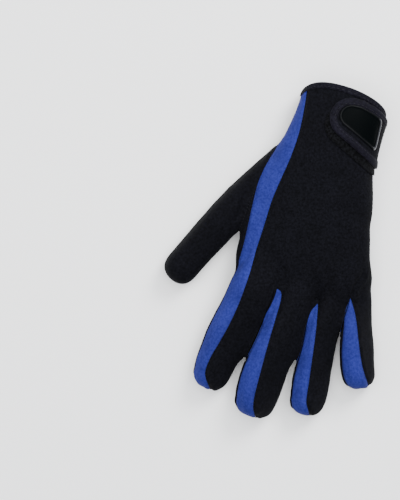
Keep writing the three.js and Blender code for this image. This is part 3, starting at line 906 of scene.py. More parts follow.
# Where the seams run on the form. Shorter lines are specks, not seams.
SEAM_LINE_POINTS = 200
back_side = points[:, 2] - seam_height("back", points)
for finger in range(len(FINGERS)):
    back_side = np.minimum(back_side, plan_distance(points, strip_area(finger, 0)))
palm_side = seam_height("palm", points) - points[:, 2]
palm_side = np.maximum(palm_side, -plan_distance(points, palm_side_area()))
seam_lines = []
for field in (back_side, palm_side):
    lines = crossing_lines(hand, points, field)
    seam_lines += [line for line in lines if len(line) > SEAM_LINE_POINTS]
thumb_side = np.maximum(thumb_field(points), -palm_field(points))
thumb_line = max(crossing_lines(hand, points, thumb_side), key=len)


def clear_of_thumb(line):
    """Which points of a long seam lie outside the thumb's own panel, where the seams stop."""
    return np.maximum(thumb_field(line), -palm_field(line)) > 0


# Relief of the cloth: grooves along the seams with a lip beside each, gathers round tips and
# crotches, waves of three sizes that calm down towards the wrist, and folds.
GROOVE_DEPTH = 0.55
GROOVE_WIDTH = 1.0
LIP_RISE = 0.22
LIP_PLACE = 2.6
LIP_WIDTH = 1.5
SEAM_REACH = 14.0
DEEPEST = 1.2
TIP_PLACE = 0.93
TIP_REACH = 14
TIP_EDGE = 1.7
GATHER_EDGE = 1.5
GATHER_RISE = 0.75
GATHER_FADE = 5.0
GATHER_SIZE = 4.2
GATHER_SHIFT = 3.0
WAVES = table(
    "rise size shift",
    (0.5, 26.0, 0.0),
    (0.25, 11.0, 5.0),
    (0.05, 4.0, 9.0),
)
CALM_START = 48
CALM_RUN = 14
CALM_SHARE = 0.75
FLOOR_CLEARANCE = 0.5
FLOOR_FADE = 4
FLOOR_SHARE = 0.15
FOLD_OVERRUN = 0.25
FOLD_FADE = 0.35
FOLD_WANDER = 0.8
FOLD_WAVES = 7
RIDGE_PLACE = 2.0
seam_points = np.vstack([line[clear_of_thumb(line)] for line in seam_lines] + [thumb_line])
near_seam = distance_to(points, seam_points, SEAM_REACH)

# Cloth draws in at the seams, and puckers where they turn round tips and crotches.
pucker = np.zeros(len(points))
for finger in FINGERS:
    at = finger_frame(finger, np.array(TIP_PLACE))
    away = np.sqrt((points[:, 0] - at["x"]) ** 2 + (points[:, 1] - at["y"]) ** 2)
    pucker = np.maximum(pucker, smooth_step(TIP_EDGE - away / TIP_REACH))
for x, y, reach in CROTCHES:
    away = np.hypot(points[:, 0] - x, points[:, 1] - y)
    pucker = np.maximum(pucker, smooth_step(GATHER_EDGE - away / reach))

normals = normals_of(hand)
upward = smooth_step(normals[:, 2] * 1.6 + 0.5)
off_floor = smooth_step((points[:, 2] - FLOOR_CLEARANCE) / FLOOR_FADE)
rise = sum(wave["rise"] * ripple(points, wave["size"], wave["shift"]) for wave in WAVES)
rise *= 1 - CALM_SHARE * smooth_step((points[:, 1] - CALM_START) / CALM_RUN)
groove = -GROOVE_DEPTH * np.exp(-((near_seam / GROOVE_WIDTH) ** 2))
lip = LIP_RISE * np.exp(-(((near_seam - LIP_PLACE) / LIP_WIDTH) ** 2))
gathers = GATHER_RISE * pucker * np.exp(-near_seam / GATHER_FADE)
gathers *= ripple(points, GATHER_SIZE, GATHER_SHIFT)
rise += groove + lip + gathers
for fold in FOLDS:
    start = np.array([fold["x1"], fold["y1"]])
    run = np.array([fold["x2"], fold["y2"]]) - start
    along = ((points[:, :2] - start) @ run) / (run @ run)
    along = np.clip(along, -FOLD_OVERRUN, 1 + FOLD_OVERRUN)
    wander = FOLD_WANDER * np.sin(along * FOLD_WAVES + fold["x1"])
    side = np.array([-run[1], run[0]]) / np.linalg.norm(run)
    off = (points[:, :2] - start) @ side + wander
    fade = smooth_step((along + FOLD_OVERRUN) / FOLD_FADE)
    fade *= smooth_step((1 + FOLD_OVERRUN - along) / FOLD_FADE)
    dip = -fold["depth"] * np.exp(-((off / fold["width"]) ** 2))
    beside = (np.abs(off) - RIDGE_PLACE * fold["width"]) / fold["width"]
    rise += fade * upward * (dip + fold["ridge"] * np.exp(-(beside**2)))
rise = np.maximum(rise, -DEEPEST)
points = points + normals * (rise * mix(FLOOR_SHARE, 1, off_floor))[:, None]
points[:, 2] = np.maximum(points[:, 2], 0)
set_points(hand, points)


def cut_slits(piece, grown=0.0):
    """Parts neighbouring fingers."""
    for name in GAP_LINES:
        slit = area_block("slit", slit_area(name, grown), SLIT_LEAN)
        cut(piece, slit, "DIFFERENCE")
        remove(slit)


# The hollow inside.
hollow = hand_form("hollow", CLOTH, **INNER_FORM)
inner = relax_evenly(points_of(hollow), edges_of(hollow), LAST_PASSES)
inner[:, 2] = np.maximum(inner[:, 2], CLOTH)
set_points(hollow, inner)
cut_slits(hollow, CLOTH)
cut(hand, hollow, "DIFFERENCE")
cut_slits(hand)


def cuff_block(name, shift):
    """The closed block past the cuff's edge."""
    middle = palm_row(1.0)[0]
    x = middle - CUFF_WIDTH / 2 * np.cos(np.linspace(0, math.pi, 61))
    y = cuff_edge(x, shift)
    x = np.concatenate([[-FAR], x, [FAR]])
    y = np.concatenate([[y[0]], y, [y[-1]]])
    rings = []
    for px, py in zip(x, y):
        rings.append([(px, py, -FAR), (px, py, FAR), (px, FAR, FAR), (px, FAR, -FAR)])
    return lofted(name, rings)


# The cloth ends a little inside the cuff's tape.
END_SHIFT = -0.8
end = cuff_block("end", END_SHIFT)
cut(hand, end, "DIFFERENCE")

# Panels, cut from the one shell along the seams.
THUMB_CUTTER_SIDES = 96
thumb_cutter = thumb_tube(
    "thumb_cutter", -THUMB_REACH, THUMB_CUTTER_SIDES, OUTER_FORM["step"], -FAR
)
palm_core = palm_tube("palm_core", PALM_STAND_OFF, OUTER_FORM["sides"], OUTER_FORM["step"], -FAR)
cut(thumb_cutter, palm_core, "DIFFERENCE")
thumb_panel = copied(hand, "thumb_panel_cloth")
cut(thumb_panel, thumb_cutter, "INTERSECT")
cut(hand, thumb_cutter, "DIFFERENCE")

panels = {"thumb_panel": thumb_panel}
half_gap = SEAM_GAP / 2
# The columns of the seams' grid between which each strip lies.
strip_ends = {
    "index_side_strip": (0, 2),
    "fourchette_index_middle": (2, 5),
    "fourchette_middle_ring": (5, 8),
    "fourchette_ring_little": (8, 11),
    "little_side_strip": (11, COLUMNS + 1),
}
back_seam = SEAMS["back"]
palm_seam = SEAMS["palm"]
palm_side_block = area_block("palm_side", palm_side_area())
palm_side_grown = area_block("palm_side_grown", palm_side_area(SEAM_GAP))

back_cutter = seam_block("back_cutter", (back_seam, half_gap), FAR)
palm_cutter = seam_block("palm_cutter", -FAR, (palm_seam, -half_gap))
cut(palm_cutter, palm_side_block, "UNION")
cutters = {"back_panel": back_cutter, "palm_panel": palm_cutter}
for i, (node, (first, last)) in enumerate(strip_ends.items()):
    cutter = seam_block(
        "strip_cutter", (palm_seam, half_gap), (back_seam, -half_gap), first, last, half_gap
    )
    if i < len(FINGERS):
        showing = area_block("showing", strip_area(i, SEAM_GAP))
        over_palm = seam_block("over_palm", (palm_seam, half_gap), FAR)
        cut(showing, over_palm, "INTERSECT")
        cut(cutter, showing, "UNION")
        whole = area_block("whole", strip_area(i, 0))
        cut(back_cutter, whole, "DIFFERENCE")
        remove(showing, over_palm, whole)
    if i == 0:
        cut(cutter, palm_side_grown, "DIFFERENCE")
    cutters[node] = cutter
for node, cutter in cutters.items():
    panel = copied(hand, node + "_cloth")
    cut(panel, cutter, "INTERSECT")
    panels[node] = panel
remove(*cutters.values(), palm_side_block, palm_side_grown)
remove(hand, hollow, end, thumb_cutter, palm_core)


# The wrist's surface, unrolled from the strap's tab round to the little finger's side.
STRAP_TAB_RADIUS = 14.2
STRAP_TAB_X = 12.4
STRAP_TAB_Y = 89.2
STRAP_SLOPE = math.radians(-29)
STRAP_CORNER_ANGLE = math.radians(82)
STRAP_CORNER_RUN = 3.0
STRAP_TOP_MARGIN = 1.3
STRAP_FOOT_HEIGHT = 11.0
STRAP_TAPE_WIDTH = 4.8
FOOT_ROUNDING_REACH = 7
FOOT_ROUNDING_FADE = 4
FOOT_ROUNDING_SHARE = 0.7
FOOT_ROUNDING_PASSES = 10
LEAST_TAB_RADIUS = 0.8
WRIST_STEPS = 500
wrist_y = np.linspace(40, 116, 77)
wrist_run = np.linspace(-34, 60, 377)
wrist_turn = np.empty((len(wrist_y), len(wrist_run)))
for i, y in enumerate(wrist_y):
    middle, half_width, half_depth = palm_row(palm_place(y))
    turn = np.linspace(math.pi * 0.98, -math.pi * 0.45, WRIST_STEPS)
    u, w = superellipse(turn, half_width, half_depth, PALM_SQUARENESS)
    run = np.concatenate([[0], np.cumsum(np.hypot(np.diff(u), np.diff(w)))])
    run -= np.interp(STRAP_TAB_X, middle + u[: WRIST_STEPS // 2], run[: WRIST_STEPS // 2])
    wrist_turn[i] = np.interp(wrist_run, run, turn)


def on_wrist(run, y, offset):
    """Places over the wrist: a run round it from the tab's middle, a place along it, a height."""
    run, y, offset = np.broadcast_arrays(np.asarray(run, float), y, offset)
    row = (y - wrist_y[0]) / (wrist_y[1] - wrist_y[0])
    column = (run - wrist_run[0]) / (wrist_run[1] - wrist_run[0])
    row = np.clip(row, 0, len(wrist_y) - 1.001)
    column = np.clip(column, 0, len(wrist_run) - 1.001)
    r, c = row.astype(int), column.astype(int)
    fr, fc = row - r, column - c
    near = mix(wrist_turn[r, c], wrist_turn[r, c + 1], fc)
    turn = mix(near, mix(wrist_turn[r + 1, c], wrist_turn[r + 1, c + 1], fc), fr)
    middle, half_width, half_depth = palm_row(palm_place(y))
    u, w = superellipse(turn, half_width + offset, half_depth + offset, PALM_SQUARENESS)
    return np.stack([middle + u, y, half_depth - FLATTENING + w], axis=-1)


# The strap's foot lies where the wrist's outer side comes down to its height.
outer_run = wrist_run[wrist_run > 20]
outer_height = on_wrist(outer_run, 75.0, 0.0)[:, 2]
FOOT_RUN = float(np.interp(-STRAP_FOOT_HEIGHT, -outer_height, outer_run))
END_STEPS, EDGE_STEPS, FOOT_STEPS = 44, 44, 20


def strap_ring(inset, centre=0.0, short=0.0):
    """The strap's outline, in runs round the wrist and places along it. It goes round the
    tab's end, along the upper edge, down the foot and back along the lower edge.
    centre draws it in to the strap's middle line, short takes a length off the foot."""
    radius = max(STRAP_TAB_RADIUS - inset, LEAST_TAB_RADIUS)
    turn = STRAP_SLOPE + 1.5 * math.pi - STRAP_CORNER_ANGLE
    angle = STRAP_CORNER_ANGLE + turn * (1 - np.arange(END_STEPS + 1) / END_STEPS)
    end = np.stack([radius * np.cos(angle), STRAP_TAB_Y + radius * np.sin(angle)], axis=1)
    foot = FOOT_RUN - inset - short
    share = np.linspace(0, 1, EDGE_STEPS + 1)[1:]
    top_start = end[-1]
    top_run = mix(top_start[0], foot, share)
    plan_x = on_wrist(top_run, STRAP_TAB_Y, 0)[:, 0]
    top_y = cuff_edge(plan_x, -CUFF_TAPE_WIDTH - STRAP_TOP_MARGIN - inset)
    settle = smooth_step((top_run - top_start[0]) / STRAP_CORNER_RUN / 2.5)
    top_y = mix(np.full_like(top_y, top_start[1]), top_y, settle)
    low_start = end[0]
    low_run = mix(low_start[0], foot, share)
    low_x = on_wrist(low_run, STRAP_TAB_Y - 15, 0)[:, 0]
    start_x = on_wrist(low_start[0], low_start[1], 0)[0]
    low_y = low_start[1] + math.tan(STRAP_SLOPE) * (low_x - start_x)
    side = np.linspace(0, 1, FOOT_STEPS + 1)[1:-1]
    foot_y = mix(top_y[-1], low_y[-1], side)
    ring = np.vstack(
        [
            end,
            np.stack([top_run, top_y], axis=1),
            np.stack([np.full(len(side), foot), foot_y], axis=1),
            np.stack([low_run, low_y], axis=1)[::-1],
        ]
    )
    near_foot = smooth_step((ring[:, 0] - foot + FOOT_ROUNDING_REACH) / FOOT_ROUNDING_FADE)
    weight = near_foot[:, None] * FOOT_ROUNDING_SHARE
    for _ in range(FOOT_ROUNDING_PASSES):
        beside = (np.roll(ring, 1, axis=0) + np.roll(ring, -1, axis=0)) / 2
        ring = mix(ring, beside, weight)
    if centre:
        run = np.clip(ring[:, 0], radius * 0.2, foot - radius * 0.6)
        top = np.interp(run, top_run, top_y)
        low = np.interp(run, low_run, low_y)
        ring = mix(ring, np.stack([run, (top + low) / 2], axis=1), centre)
    return ring


def strap_layer(name, rows, shift=(0, 0), looped=False, short=0.0):
    """A layer on the wrist in the strap's outline, through rows of inset, height and how far
    the ring is drawn in to the middle line."""
    rings = []
    for inset, height, centre in rows:
        ring = strap_ring(inset, centre, short)
        rings.append(on_wrist(ring[:, 0] + shift[0], ring[:, 1] + shift[1], height))
    return lofted(name, rings, looped)


def ramp(inset, low, high, count=9, power=2.0):
    """Rows from the edge to the middle line, with a height that swells between two values."""
    share = np.linspace(0, 1, count)[1:]
    return [(inset, mix(low, high, 1 - (1 - t) ** power), t) for t in share]


def both_faces(inset, bottom, top, dome, edge=0.35):
    """Rows of a closed layer with a rounded edge: from the underside's middle to the top's."""
    under = [(inset, bottom, t) for t in np.linspace(1, 0, 7)]
    sides = [
        (inset - edge * 0.7, mix(bottom, top, 0.2), 0),
        (inset - edge, mix(bottom, top, 0.5), 0),
        (inset - edge * 0.7, mix(bottom, top, 0.82), 0),
        (inset, top, 0),
    ]
    return under + sides + ramp(inset + 0.01, top, top + dome)


def tidy(piece, angle=50):
    """Closes the places where a layer's middle line meets itself, and shades it smoothly."""
    make_active(piece)
    bpy.ops.object.mode_set(mode="EDIT")
    bpy.ops.mesh.select_all(action="SELECT")
    bpy.ops.mesh.remove_doubles(threshold=0.00002)
    bpy.ops.mesh.normals_make_consistent(inside=False)
    bpy.ops.object.mode_set(mode="OBJECT")
    bpy.ops.object.shade_smooth_by_angle(angle=math.radians(angle))
    return piece


# Heights of the layers over the wrist. The patch shows beside the strap's tab.
PATCH_BOTTOM = 0.1
PATCH_TOP = 0.95
PATCH_SHIFT = (-2.6, -5.2)
STRAP_BOTTOM = 1.15
STRAP_TOP = 2.35
TAPE_TOP = 2.85
patch_rows = both_faces(0.4, PATCH_BOTTOM, PATCH_TOP, 0.1)
strap_rows = both_faces(1.0, STRAP_BOTTOM, STRAP_TOP, 0.15)
patch = tidy(strap_layer("loop_patch_pile", patch_rows, PATCH_SHIFT))
strap = tidy(strap_layer("wrist_strap_cloth", strap_rows))
# The tape's section round the strap's edge, as inset and height.
tape_rows = [
    (STRAP_TAPE_WIDTH, STRAP_TOP + 0.05), (STRAP_TAPE_WIDTH - 0.15, STRAP_TOP + 0.42),
    (STRAP_TAPE_WIDTH - 0.8, TAPE_TOP), (3.0, TAPE_TOP + 0.12), (1.6, TAPE_TOP + 0.08),
    (0.6, TAPE_TOP - 0.2), (0.1, TAPE_TOP - 0.6), (-0.15, 1.9), (0.0, 1.3), (0.6, 1.0),
    (2.5, 0.97), (STRAP_TAPE_WIDTH, 1.0), (STRAP_TAPE_WIDTH, 1.18), (1.2, 1.25),
    (0.9, 1.7), (1.2, STRAP_TOP - 0.05),
]
tape_rows = [(inset, height, 0) for inset, height in tape_rows]
strap_tape = tidy(strap_layer("strap_tape_fold", tape_rows, looped=True))
BADGE_INSET = STRAP_TAPE_WIDTH + 1.4
BADGE_SHORT = 12.0
BADGE_SHIFT = (0.0, 1.5)
badge_rows = [(BADGE_INSET, STRAP_TOP + 0.02, t) for t in np.linspace(1, 0, 5)]
badge_rows += [
    (BADGE_INSET, STRAP_TOP + 0.5, 0), (BADGE_INSET + 0.25, STRAP_TOP + 0.92, 0),
    (BADGE_INSET + 0.7, STRAP_TOP + 1.05, 0), (BADGE_INSET + 1.15, STRAP_TOP + 0.95, 0),
    (BADGE_INSET + 1.45, STRAP_TOP + 0.62, 0), (BADGE_INSET + 1.8, STRAP_TOP + 0.5, 0),
]
badge_rows += ramp(BADGE_INSET + 1.85, STRAP_TOP + 0.5, STRAP_TOP + 0.95)
badge = strap_layer("strap_badge_moulding", badge_rows, BADGE_SHIFT, short=BADGE_SHORT)
# The badge's rim shines most at its foot: it is glossiest there, and its colour there is lightened
# as a painted highlight.
RIM_DULL = 0.08
RIM_HEIGHT = 0.8
rim = badge.data.attributes.new("rim", "FLOAT", "POINT")
sides = (len(badge.data.vertices) - 2) // len(badge_rows)
share = np.zeros(len(badge.data.vertices))
for row, (inset, height, centre) in enumerate(badge_rows):
    if height > STRAP_TOP + RIM_HEIGHT and not centre:
        run = strap_ring(inset, 0.0, BADGE_SHORT)[:, 0]
        at_foot = smooth_step((run - run.max() + 3) / 2)
        share[row * sides : (row + 1) * sides] = mix(RIM_DULL, 1, at_foot)
rim.data.foreach_set("value", share)
tidy(badge)


# The folded tape round the cuff: a row for each line along the fold, from the outside over the
# edge to the inside. back is how far it lies behind the cuff's edge.
CUFF_TAPE_ROWS = table(
    "back height",
    (4.5, 0.05), (4.35, 0.5), (3.6, 0.72), (2.2, 0.8), (1.2, 0.82), (0.5, 0.6), (0.1, 0.1),
    (-0.05, -0.9), (0.05, -1.9), (0.5, -2.5), (1.2, -2.75), (2.6, -2.7), (3.8, -2.55),
    (3.9, -2.1), (0.9, -1.95), (0.6, -1.0), (0.9, -0.1),
)
CUFF_SIDES = 360
CUFF_STITCHES = 62
STITCH_DIP = 0.14


def cuff_line(back, height, sides=CUFF_SIDES):
    """A line round the wrist beside the cuff's edge."""
    turn = np.arange(sides) / sides * 2 * math.pi
    middle, half_width, half_depth = palm_row(palm_place(CUFF_REACH))
    u, w = superellipse(turn, half_width + height, half_depth + height, PALM_SQUARENESS)
    x = middle + u
    y = cuff_edge(x, -back)
    middle, half_width, half_depth = palm_row(palm_place(y))
    u, w = superellipse(turn, half_width + height, half_depth + height, PALM_SQUARENESS)
    low = 0.0 if height > -0.5 else (CLOTH * 0.5 if height > -1.5 else CLOTH)
    return np.stack([middle + u, y, pressed(half_depth - FLATTENING + w, low, 0.4)], axis=1)


cuff_rings = []
stitch_phase = np.arange(CUFF_SIDES) / CUFF_SIDES * CUFF_STITCHES * 2 * math.pi
for row in CUFF_TAPE_ROWS:
    ring = cuff_line(row["back"], row["height"])
    if 2.0 < row["back"] < 4.0 and row["height"] > 0:
        dip = STITCH_DIP * np.maximum(np.cos(stitch_phase), 0) ** 2
        ring = mix(ring, cuff_line(row["back"], row["height"] - 1), dip[:, None])
    cuff_rings.append(ring)
cuff_tape = tidy(lofted("cuff_tape_fold", cuff_rings, looped=True), 60)


# Thread. A stitch is one short bowed length of it.
THREAD_SIDES = 6
THREAD_ROWS = 7
THREAD_SINK = 0.25
THREAD_TAPER = 0.55


def thread(name, starts, ends, ups, radius, bow):
    """Stitches from starts to ends, each bowed outwards and dipping into the cloth."""
    starts, ends, ups = (np.asarray(each, float) for each in (starts, ends, ups))
    sides, rows = THREAD_SIDES, THREAD_ROWS
    share = np.linspace(0, 1, rows)
    run = ends - starts
    length = np.linalg.norm(run, axis=1, keepdims=True)
    along = run / length
    across = np.cross(ups, along)
    across /= np.linalg.norm(across, axis=1, keepdims=True)
    up = np.cross(along, across)
    angle = np.arange(sides) / sides * 2 * math.pi
    points, faces = [], []
    for i in range(len(starts)):
        base = len(points)
        for t in share:
            lift = bow * (1 - (2 * t - 1) ** 4) - THREAD_SINK * (2 * t - 1) ** 4
            thick = radius * (1 - THREAD_TAPER * (2 * t - 1) ** 6)
            centre = starts[i] + run[i] * t + up[i] * lift
            for a in angle:
                points.append(centre + thick * (math.cos(a) * across[i] + math.sin(a) * up[i]))
        for r in range(rows - 1):
            for k in range(sides):
                a, b = base + r * sides + k, base + r * sides + (k + 1) % sides
                faces.append((a, b, b + sides, a + sides))
        faces.append(tuple(base + k for k in range(sides))[::-1])
        faces.append(tuple(base + (rows - 1) * sides + k for k in range(sides)))
    piece = mesh_piece(name, points, faces)
    make_active(piece)
    bpy.ops.object.shade_smooth()
    return piece


def dashes(line, ups, fill=0.68):
    """Starts, ends and outward directions of stitches that follow a line, one at each step."""
    following = np.roll(line, -1, axis=0)
    return line, mix(line, following, fill), ups


# A row round the cuff's tape, and a row round the strap's.
STRAP_PITCH = 2.7
TAPE_THREAD = dict(radius=0.2, bow=0.16)
cuff_row = cuff_line(3.0, 0.62, CUFF_STITCHES)
cuff_up = cuff_line(3.0, 1.62, CUFF_STITCHES) - cuff_row
strap_row = strap_ring(STRAP_TAPE_WIDTH - 1.3)
strap_row = np.vstack([strap_row, strap_row[:1]])
strap_steps = np.linalg.norm(np.diff(strap_row, axis=0), axis=1)
strap_run = np.concatenate([[0], np.cumsum(strap_steps)])
strap_pitch = strap_run[-1] / round(strap_run[-1] / STRAP_PITCH)
strap_places = np.arange(0, strap_run[-1], strap_pitch)
strap_row = np.stack([np.interp(strap_places, strap_run, row) for row in strap_row.T], axis=1)
strap_line = on_wrist(strap_row[:, 0], strap_row[:, 1], TAPE_TOP - 0.02)
strap_up = on_wrist(strap_row[:, 0], strap_row[:, 1], TAPE_TOP + 1) - strap_line
tape_stitches = [
    thread("cuff_stitches", *dashes(cuff_row, cuff_up), **TAPE_THREAD),
    thread("strap_stitches", *dashes(strap_line, strap_up), **TAPE_THREAD),
]

# Fine stitches across the panels' seams. They leave out the slits between the fingers, the
# cuff's tape and what lies on the floor.
SEAM_PITCH = 2.1
SEAM_STITCH = 1.5
SEAM_SLANT = 0.35
SEAM_LIFT = 0.05
SEAM_THREAD = dict(radius=0.11, bow=0.28)
SLIT_CLEARANCE = 1.8
STITCH_LEAST_HEIGHT = 0.6
seam_starts, seam_ends, seam_ups = [], [], []
form_tree = kdtree.KDTree(len(points))
for i, place in enumerate(points):
    form_tree.insert(place, i)
form_tree.balance()
gap_points = np.vstack([rounded_line(line) for line in GAP_LINES.values()])
for line in seam_lines + [thumb_line]:
    places = even(line, SEAM_PITCH)
    for place, following in zip(places[:-1], places[1:]):
        under_tape = place[1] > cuff_edge(place[0], -CUFF_TAPE_WIDTH - 1)
        if under_tape or place[2] < STITCH_LEAST_HEIGHT:
            continue
        if line is not thumb_line and not clear_of_thumb(place[None])[0]:
            continue
        if np.hypot(*(gap_points - place[:2]).T).min() < SLIT_CLEARANCE:
            continue
        found, index, _ = form_tree.find(place)
        up = normals[index]
        along = (following - place) / np.linalg.norm(following - place)
        across = np.cross(up, along)
        across /= np.linalg.norm(across)
        surface = place + up * (np.dot(np.array(found) - place, up) + SEAM_LIFT)
        reach = (across + SEAM_SLANT * along) * SEAM_STITCH / 2
        seam_starts.append(surface - reach)
        seam_ends.append(surface + reach)
        seam_ups.append(up)
seam_stitches = thread("seam_stitches", seam_starts, seam_ends, seam_ups, **SEAM_THREAD)


# Finishes.
def set_inputs(material, node, inputs):
    """Gives each input of a node its value, or the output that feeds it."""
    for name, value in inputs.items():
        if isinstance(value, bpy.types.NodeSocket):
            material.node_tree.links.new(value, node.inputs[name])
        else:
            node.inputs[name].default_value = value


def add_node(material, kind, inputs, **settings):
    """A new node's outputs."""
    node = material.node_tree.nodes.new("ShaderNode" + kind)
    for name, value in settings.items():
        setattr(node, name, value)
    set_inputs(material, node, inputs)
    return node.outputs


def new_material(name):
    material = bpy.data.materials.new(name)
    material.use_nodes = True
    return material


def set_finish(material, inputs):
    """Gives the material's shader its inputs."""
    set_inputs(material, material.node_tree.nodes["Principled BSDF"], inputs)
    return material


def knitted(name, colour, light_colour, roughness, sheen, speckle, pitch=0.75):
    """A fine knitted face on foam: small loops, slight mottling and a soft nap."""
    material = new_material(name)
    place = add_node(material, "TexCoord", {})["Object"]
    stretch = add_node(material, "Mapping", {"Scale": (1.0, 0.72, 1.0), "Vector": place})
    loops = add_node(material, "TexVoronoi", {
        "Scale": 1000 / pitch, "Randomness": 0.45, "Vector": stretch["Vector"],
    })
    fleck = add_node(material, "TexNoise", {
        "Scale": 620, "Detail": 3, "Roughness": 0.7, "Vector": place,
    })
    cloud = add_node(material, "TexNoise", {"Scale": 55, "Detail": 4, "Vector": place})
    contrast = add_node(material, "MapRange", {
        "From Min": 0.5 - speckle, "From Max": 0.5 + speckle, "Value": fleck["Fac"],
    })
    tone = add_node(material, "Mix", {
        "A": (*colour, 1), "B": (*light_colour, 1), "Factor": contrast["Result"],
    }, data_type="RGBA")
    shade = add_node(material, "MapRange", {
        "From Min": 0.3, "From Max": 0.7, "To Min": 0.82, "To Max": 1.12, "Value": cloud["Fac"],
    })
    shaded = add_node(material, "VectorMath", {
        0: tone["Result"], "Scale": shade["Result"],
    }, operation="SCALE")
    knit = add_node(material, "Bump", {
        "Strength": 0.55, "Distance": 0.00018, "Height": loops["Distance"],
    }, invert=True)
    nap = add_node(material, "Bump", {
        "Strength": 0.5, "Distance": 0.00025, "Height": fleck["Fac"], "Normal": knit["Normal"],
    })
    return set_finish(material, {
        "Base Color": shaded["Vector"],
        "Roughness": roughness,
        "Sheen Weight": sheen,
        "Sheen Roughness": 0.5,
        "Specular IOR Level": 0.055,
        "Normal": nap["Normal"],
    })


def moulded(name, colour, roughness, painted_rim_highlight_colour, rim_roughness):
    """Matt moulded rubber with faint unevenness, its raised rim smoother and a little lighter; the
    lighter rim colour is a painted highlight.
    """
    material = new_material(name)
    place = add_node(material, "TexCoord", {})["Object"]
    cloud = add_node(material, "TexNoise", {"Scale": 160, "Detail": 3, "Vector": place})
    gloss = add_node(material, "MapRange", {
        "To Min": roughness - 0.06, "To Max": roughness + 0.08, "Value": cloud["Fac"],
    })
    rim = add_node(material, "Attribute", {}, attribute_name="rim")["Fac"]
    polish = add_node(material, "Mix", {"A": gloss["Result"], "B": rim_roughness, "Factor": rim})
    # The rim's lighter colour is a painted highlight, strongest at the badge's foot.
    tone = add_node(material, "Mix", {
        "A": (*colour, 1), "B": (*painted_rim_highlight_colour, 1), "Factor": rim,
    }, data_type="RGBA")
    shine = add_node(material, "MapRange", {"To Min": 0.025, "To Max": 0.8, "Value": rim})
    grain = add_node(material, "TexNoise", {"Scale": 1500, "Vector": place})
    bump = add_node(material, "Bump", {
        "Strength": 0.15, "Distance": 0.0001, "Height": grain["Fac"],
    })
    return set_finish(material, {
        "Base Color": tone["Result"],
        "Roughness": polish["Result"],
        "Specular IOR Level": shine["Result"],
        "Normal": bump["Normal"],
    })


def spun(name, colour):
    """Twisted thread."""
    material = new_material(name)
    place = add_node(material, "TexCoord", {})["Object"]
    twist = add_node(material, "TexWave", {"Scale": 900, "Distortion": 1.5, "Vector": place})
    bump = add_node(material, "Bump", {
        "Strength": 0.4, "Distance": 0.00008, "Height": twist["Fac"],
    })
    return set_finish(material, {
        "Base Color": (*colour, 1),
        "Roughness": 0.7,
        "Specular IOR Level": 0.2,
        "Normal": bump["Normal"],
    })


black_cloth = knitted(
    "black_knit", (0.0005, 0.0005, 0.0011), (0.0034, 0.0035, 0.0056),
    roughness=0.85, sheen=0.008, speckle=0.16,
)
blue_cloth = knitted(
    "blue_knit", (0.0090, 0.0125, 0.110), (0.0205, 0.0262, 0.172),
    roughness=0.85, sheen=0.015, speckle=0.16,
)
edge_tape = knitted(
    "folded_tape", (0.0012, 0.0010, 0.0028), (0.0056, 0.0050, 0.0095),
    roughness=0.7, sheen=0.02, speckle=0.14, pitch=0.5,
)
loop_pile = knitted(
    "loop_pile", (0.0004, 0.0004, 0.0006), (0.0036, 0.0038, 0.0048),
    roughness=0.95, sheen=0.02, speckle=0.07, pitch=1.1,
)
# The fourth value is the rim's painted highlight colour.
badge_rubber = moulded(
    "moulded_rubber", (0.0003, 0.0008, 0.0010), 0.5, (0.006, 0.006, 0.010), 0.24
)
black_thread = spun("black_thread", (0.006, 0.006, 0.009))

PANEL_EDGE_ANGLE = math.radians(42)
for node, panel in panels.items():
    is_blue = "strip" in node or "fourchette" in node
    panel.data.materials.clear()
    panel.data.materials.append(blue_cloth if is_blue else black_cloth)
    make_active(panel)
    bpy.ops.object.shade_smooth_by_angle(angle=PANEL_EDGE_ANGLE)
    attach(panel, "root")
    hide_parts(node)

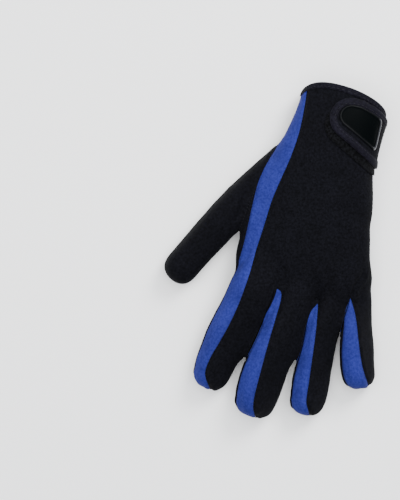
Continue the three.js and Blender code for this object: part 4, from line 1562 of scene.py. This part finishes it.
# The other pieces, with their finish, slot and the node that they replace.
TRIM = [
    (cuff_tape, edge_tape, "edge_tape", "cuff_tape"),
    (patch, loop_pile, "loop_cloth", "loop_patch"),
    (strap, black_cloth, "strap_cloth", "wrist_strap"),
    (strap_tape, edge_tape, "edge_tape", "strap_tape"),
    (badge, badge_rubber, "badge_rubber", "strap_badge"),
    (tape_stitches[0], black_thread, "edge_tape", None),
    (tape_stitches[1], black_thread, "edge_tape", None),
    (seam_stitches, black_thread, "black_cloth", None),
]
for piece, material, slot, node in TRIM:
    piece.data.materials.clear()
    piece.data.materials.append(material)
    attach(piece, "root")
    if node:
        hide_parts(node)

# The plain floor, lights and camera.
bpy.ops.mesh.primitive_plane_add(size=4, location=(0, 0, 0))
floor = bpy.context.object
floor.name = "floor"
paper = {"Base Color": (0.97, 0.97, 0.97, 1), "Roughness": 0.9}
floor.data.materials.append(set_finish(new_material("paper"), paper))


def staged(name, data):
    """An object of the studio, in the scene."""
    piece = bpy.data.objects.new(name, data)
    bpy.context.scene.collection.objects.link(piece)
    return piece


# The picture is turned against the glove, and its middle lies beside it. The lights' places
# are given as the picture sees them: right, up and above the floor, in metres.
TURN = math.radians(12)
VIEW_CENTRE = (-0.0706, -0.0211)
VIEW_HEIGHT = 1.221
LIGHTS = table(
    "name right up height size power",
    ("window", 0.6, 0.75, 0.85, 0.6, 19),
    ("overhead", 0.0, 0.1, 1.5, 1.8, 35),
    ("near_side", -0.9, 0.1, 0.6, 0.8, 5),
)
for light in LIGHTS:
    lamp = bpy.data.lights.new(light["name"], "AREA")
    lamp.shape = "DISK"
    lamp.size = light["size"]
    lamp.energy = light["power"]
    piece = staged(light["name"], lamp)
    right, up = light["right"], light["up"]
    x = VIEW_CENTRE[0] + right * math.cos(TURN) - up * math.sin(TURN)
    y = VIEW_CENTRE[1] + right * math.sin(TURN) + up * math.cos(TURN)
    piece.location = (x, y, light["height"])
    piece.rotation_euler = (-Vector(piece.location)).to_track_quat("-Z", "Y").to_euler()

world = bpy.data.worlds.new("studio")
bpy.context.scene.world = world
world.use_nodes = True
sky = world.node_tree.nodes["Background"].inputs
sky["Color"].default_value = (0.9, 0.94, 1.0, 1)
sky["Strength"].default_value = 0.72

lens = bpy.data.cameras.new("camera")
lens.sensor_fit = "VERTICAL"
lens.sensor_height = 24
lens.lens = 82.3
camera = staged("camera", lens)
camera.location = (*VIEW_CENTRE, VIEW_HEIGHT)
camera.rotation_euler = (0, 0, TURN)
bpy.context.scene.camera = camera
